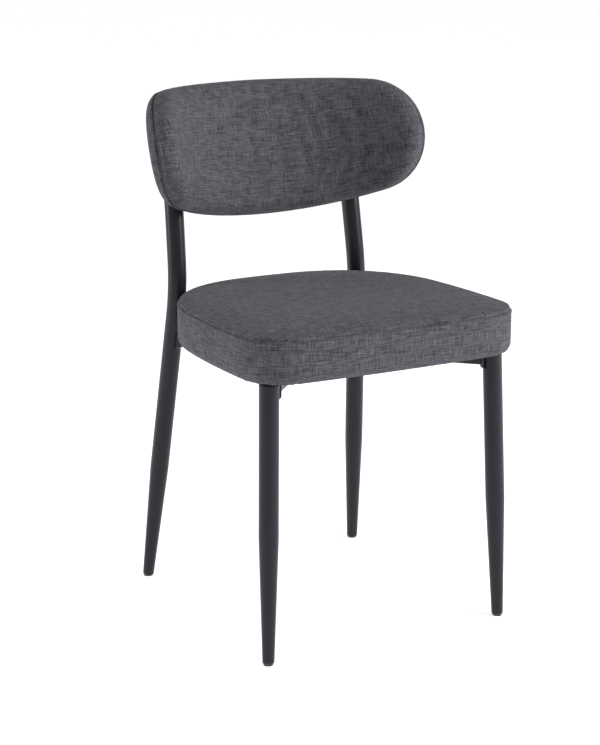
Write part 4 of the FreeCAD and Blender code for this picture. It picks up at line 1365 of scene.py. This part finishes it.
@dataclass
class Seat:
    """The seat: its sewn pad and the stitches along its seam."""

    finishes: Wardrobe
    across: int = 72
    up: int = 64
    top_round: float = 12 * MM
    under_round: float = 14 * MM
    sag: float = 1.0 * MM
    rolled: float = 21 * MM
    bar_clear: float = 15 * MM
    bar_away: float = 20 * MM
    seam_drop: float = 6 * MM
    hem: float = 40 * MM
    crown: float = 7 * MM
    stitch_off: float = 3.6 * MM
    snug: float = 1.2 * MM
    face_ring: float = 26 * MM
    hem_ring: int = -10
    held_ring: int = -7

    def outline(self) -> np.ndarray:
        """The cover's outline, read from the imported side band."""
        return quartered(hull(node_points("seat_cover_band")[:, :2]), self.across, self.up)

    def rim(self, low: float, top: float) -> Rim:
        """Draw the cushion's edge in section.

        Args:
            low: height of the hem.
            top: height of the top face.

        Returns:
            The rim, from the top face to the hem under the board.
        """
        rim = Rim([self.face_ring], [top])
        rim.line((self.top_round + self.snug, top), 5)
        rim.quarter(self.top_round, True, 18)
        wall_low = low + self.under_round - self.sag
        rim.line((self.snug, rim.depth[-1] - 6 * MM), 5)
        rim.line((self.snug, wall_low), 6)
        rim.quarter(self.under_round, False, 8)
        rim.line((self.rolled, low), 3)
        rim.line((self.hem, low), 3)
        return rim

    def laid(self, rows: np.ndarray) -> np.ndarray:
        """Lift the hem off the rear bars that it crosses.

        Args:
            rows: the cushion's points.

        Returns:
            The points, as they lie in the chair.
        """
        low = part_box("seat_cover_band")[0].z
        free = np.clip((from_bars(rows[:, :2]) - self.bar_clear) / self.bar_away, 0, 1)
        free[rows[:, 1] < 0] = 1.0
        lifted = rows.copy()
        lifted[:, 2] = np.where(rows[:, 2] < low, low - (low - rows[:, 2]) * free, rows[:, 2])
        return lifted

    def build(self) -> None:
        """Build and dress the cushion and its thread."""
        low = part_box("seat_cover_band")[0].z
        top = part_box("seat_cover_top")[1].z
        rim = self.rim(low, top)
        along = rim.arc_length()
        depth = np.array(rim.depth)
        seam_at = float(np.interp(-(top - self.seam_drop), -depth, along))
        hem_at = float(along[self.hem_ring])
        pad = SeatPad("seat_cushion", self.outline(), rim, Seam(seam_at), self.laid, self.across, self.up,
                      crown=self.crown, fill=0.85, held_from=float(along[self.held_ring]), hem_at=hem_at)
        piece = pad.build()
        refine(piece)
        piece.data.materials.append(self.finishes.get(Finish.LINEN))
        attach(piece, "root")
        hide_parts("seat_cover_top", "seat_cover_band", "seat_foam")
        LOG.info("seat cushion: %d faces", len(piece.data.polygons))
        Stitching("seat_stitching", self.finishes).lay(piece, pad.line_at(seam_at + self.stitch_off))


@dataclass
class Back:
    """The back: its sewn pad on the plywood shell, and the stitches along its rear seam."""

    finishes: Wardrobe
    across: int = 96
    up: int = 40
    bend: float = 253 * MM
    lean: float = math.radians(18.06)
    thickness: float = 42.8 * MM
    crown: float = 6 * MM
    front_round: float = 18.5 * MM
    rear_round: float = 15 * MM
    seam_depth: float = 8 * MM
    stitch_off: float = 3.6 * MM
    snug: float = 1.0 * MM
    face_ring: float = 34 * MM

    def to_pad(self, rows: np.ndarray) -> np.ndarray:
        """Turn chair points into the pad's upright frame."""
        c, s = math.cos(self.lean), math.sin(self.lean)
        return np.column_stack([rows[:, 0], c * rows[:, 1] - s * rows[:, 2], s * rows[:, 1] + c * rows[:, 2]])

    def from_pad(self, rows: np.ndarray) -> np.ndarray:
        """Turn points in the pad's upright frame into chair points."""
        c, s = math.cos(self.lean), math.sin(self.lean)
        return np.column_stack([rows[:, 0], c * rows[:, 1] + s * rows[:, 2], -s * rows[:, 1] + c * rows[:, 2]])

    def axis(self) -> float:
        """Where the axis of the pad's curve is, front to rear in the pad's frame."""
        rows = self.to_pad(node_points("back_cover_rear"))
        return float(rows[:, 1].max()) - self.bend - self.thickness / 2

    def unrolled(self, node: str) -> np.ndarray:
        """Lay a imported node's points out on the pad's curve.

        Args:
            node: the node.

        Returns:
            Rows of distance across, height and depth behind mid thickness.
        """
        rows = self.to_pad(node_points(node))
        y = rows[:, 1] - self.axis()
        reach = np.hypot(rows[:, 0], y)
        return np.column_stack([np.arctan2(rows[:, 0], y) * self.bend, rows[:, 2], reach - self.bend])

    def rolled(self, flat: np.ndarray) -> np.ndarray:
        """Bend points on to the pad's curve.

        Args:
            flat: rows of distance across, height and depth towards the front.

        Returns:
            Points in the chair's frame.
        """
        turn = flat[:, 0] / self.bend
        reach = self.bend - flat[:, 2]
        rows = np.column_stack([np.sin(turn) * reach, np.cos(turn) * reach + self.axis(), flat[:, 1]])
        return self.from_pad(rows)

    def outline(self) -> np.ndarray:
        """The pad's outline on its own curve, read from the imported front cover."""
        return quartered(hull(self.unrolled("back_cover_front")[:, :2]), self.across, self.up)

    def rim(self) -> Rim:
        """Draw the pad's edge in section.

        Returns:
            The rim, from the front face to the rear one.
        """
        half = self.thickness / 2
        rim = Rim([self.face_ring], [half])
        rim.line((self.front_round + self.snug, half), 4)
        rim.quarter(self.front_round, True, 11)
        rim.line((self.snug, -half + self.rear_round), 6)
        rim.quarter(self.rear_round, False, 22)
        rim.line((self.face_ring, -half), 4)
        return rim

    def build(self) -> None:
        """Build and dress the pad and its thread."""
        rim = self.rim()
        along = rim.arc_length()
        seam_at = float(np.interp(self.seam_depth, -np.array(rim.depth), along))
        seam = Seam(seam_at, valley=2.6 * MM, width=1.3 * MM)
        pad = BackRest("back_pad", self.outline(), rim, seam, self.rolled, self.across, self.up,
                       crown=self.crown, fill=0.8, held_from=seam_at)
        piece = pad.build()
        refine(piece)
        piece.data.materials.append(self.finishes.get(Finish.LINEN))
        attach(piece, "root")
        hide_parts("back_cover_front", "back_cover_rear", "back_foam", "back_wadding")
        LOG.info("back pad: %d faces", len(piece.data.polygons))
        Stitching("back_stitching", self.finishes).lay(piece, pad.line_at(seam_at - self.stitch_off))


# ---------------------------------------------------------------- studio


@dataclass
class Softbox:
    """A soft rectangular lamp that looks at the chair."""

    name: str
    place: tuple[float, float, float]
    width: float
    height: float
    power: float
    tint: Colour = (1.0, 1.0, 1.0)

    def build(self, target: Vector) -> None:
        """Hang the lamp.

        Args:
            target: the point it faces.
        """
        data = bpy.data.lights.new(self.name, "AREA")
        data.shape = "RECTANGLE"
        data.size, data.size_y = self.width, self.height
        data.energy = self.power
        data.color = self.tint
        lamp = linked(self.name, data)
        lamp.location = self.place
        lamp.rotation_euler = (target - Vector(self.place)).to_track_quat("-Z", "Y").to_euler()


@dataclass
class Studio:
    """A pale floor, soft light and a camera."""

    azimuth: float = -29.36
    elevation: float = 14.375
    distance: float = 3.0115
    target: tuple[float, float, float] = (0.0, 0.0519, 0.3459)
    lens: float = 94.74
    floor_radius: float = 60.0
    sky: float = 0.56
    aim: tuple[float, float, float] = (0.0, 0.0, 0.45)

    def build(self) -> None:
        """Set up the stage."""
        self.build_floor()
        world = bpy.data.worlds.new("studio")
        world.use_nodes = True
        sky = world.node_tree.nodes["Background"]
        sky.inputs["Color"].default_value = (1.0, 1.0, 1.0, 1.0)
        sky.inputs["Strength"].default_value = self.sky
        bpy.context.scene.world = world
        for lamp in (
            Softbox("key", (2.6, -2.2, 1.9), 0.9, 1.7, 135.0, (1.0, 0.99, 1.03)),
            Softbox("rim", (-2.7, 1.3, 1.3), 0.7, 1.7, 46.0),
        ):
            lamp.build(Vector(self.aim))
        self.build_camera()
        bpy.context.scene.view_settings.view_transform = "Standard"

    def build_floor(self) -> None:
        """Lay the floor."""
        bpy.ops.object.select_all(action="DESELECT")
        bpy.ops.mesh.primitive_circle_add(vertices=96, radius=self.floor_radius, fill_type="NGON")
        floor = bpy.context.object
        floor.name = "studio_floor"
        floor.data.materials.append(StudioFloor().build("studio_floor"))

    def build_camera(self) -> None:
        """Stand the camera where the chair is seen from its front left."""
        data = bpy.data.cameras.new("camera")
        data.lens = self.lens
        camera = linked("camera", data)
        turn, rise = math.radians(self.azimuth), math.radians(self.elevation)
        back = Vector((math.sin(turn) * math.cos(rise), -math.cos(turn) * math.cos(rise), math.sin(rise)))
        camera.location = Vector(self.target) + back * self.distance
        camera.rotation_euler = (-back).to_track_quat("-Z", "Y").to_euler()
        bpy.context.scene.camera = camera


def main() -> None:
    """Build the chair's looks and the studio."""
    logging.basicConfig(level=logging.INFO, format="%(name)s: %(message)s")
    finishes = Wardrobe()
    finishes.dress_frame()
    Seat(finishes).build()
    DustCover(finishes).build()
    Back(finishes).build()
    Studio().build()


if __name__ == "__main__":
    main()
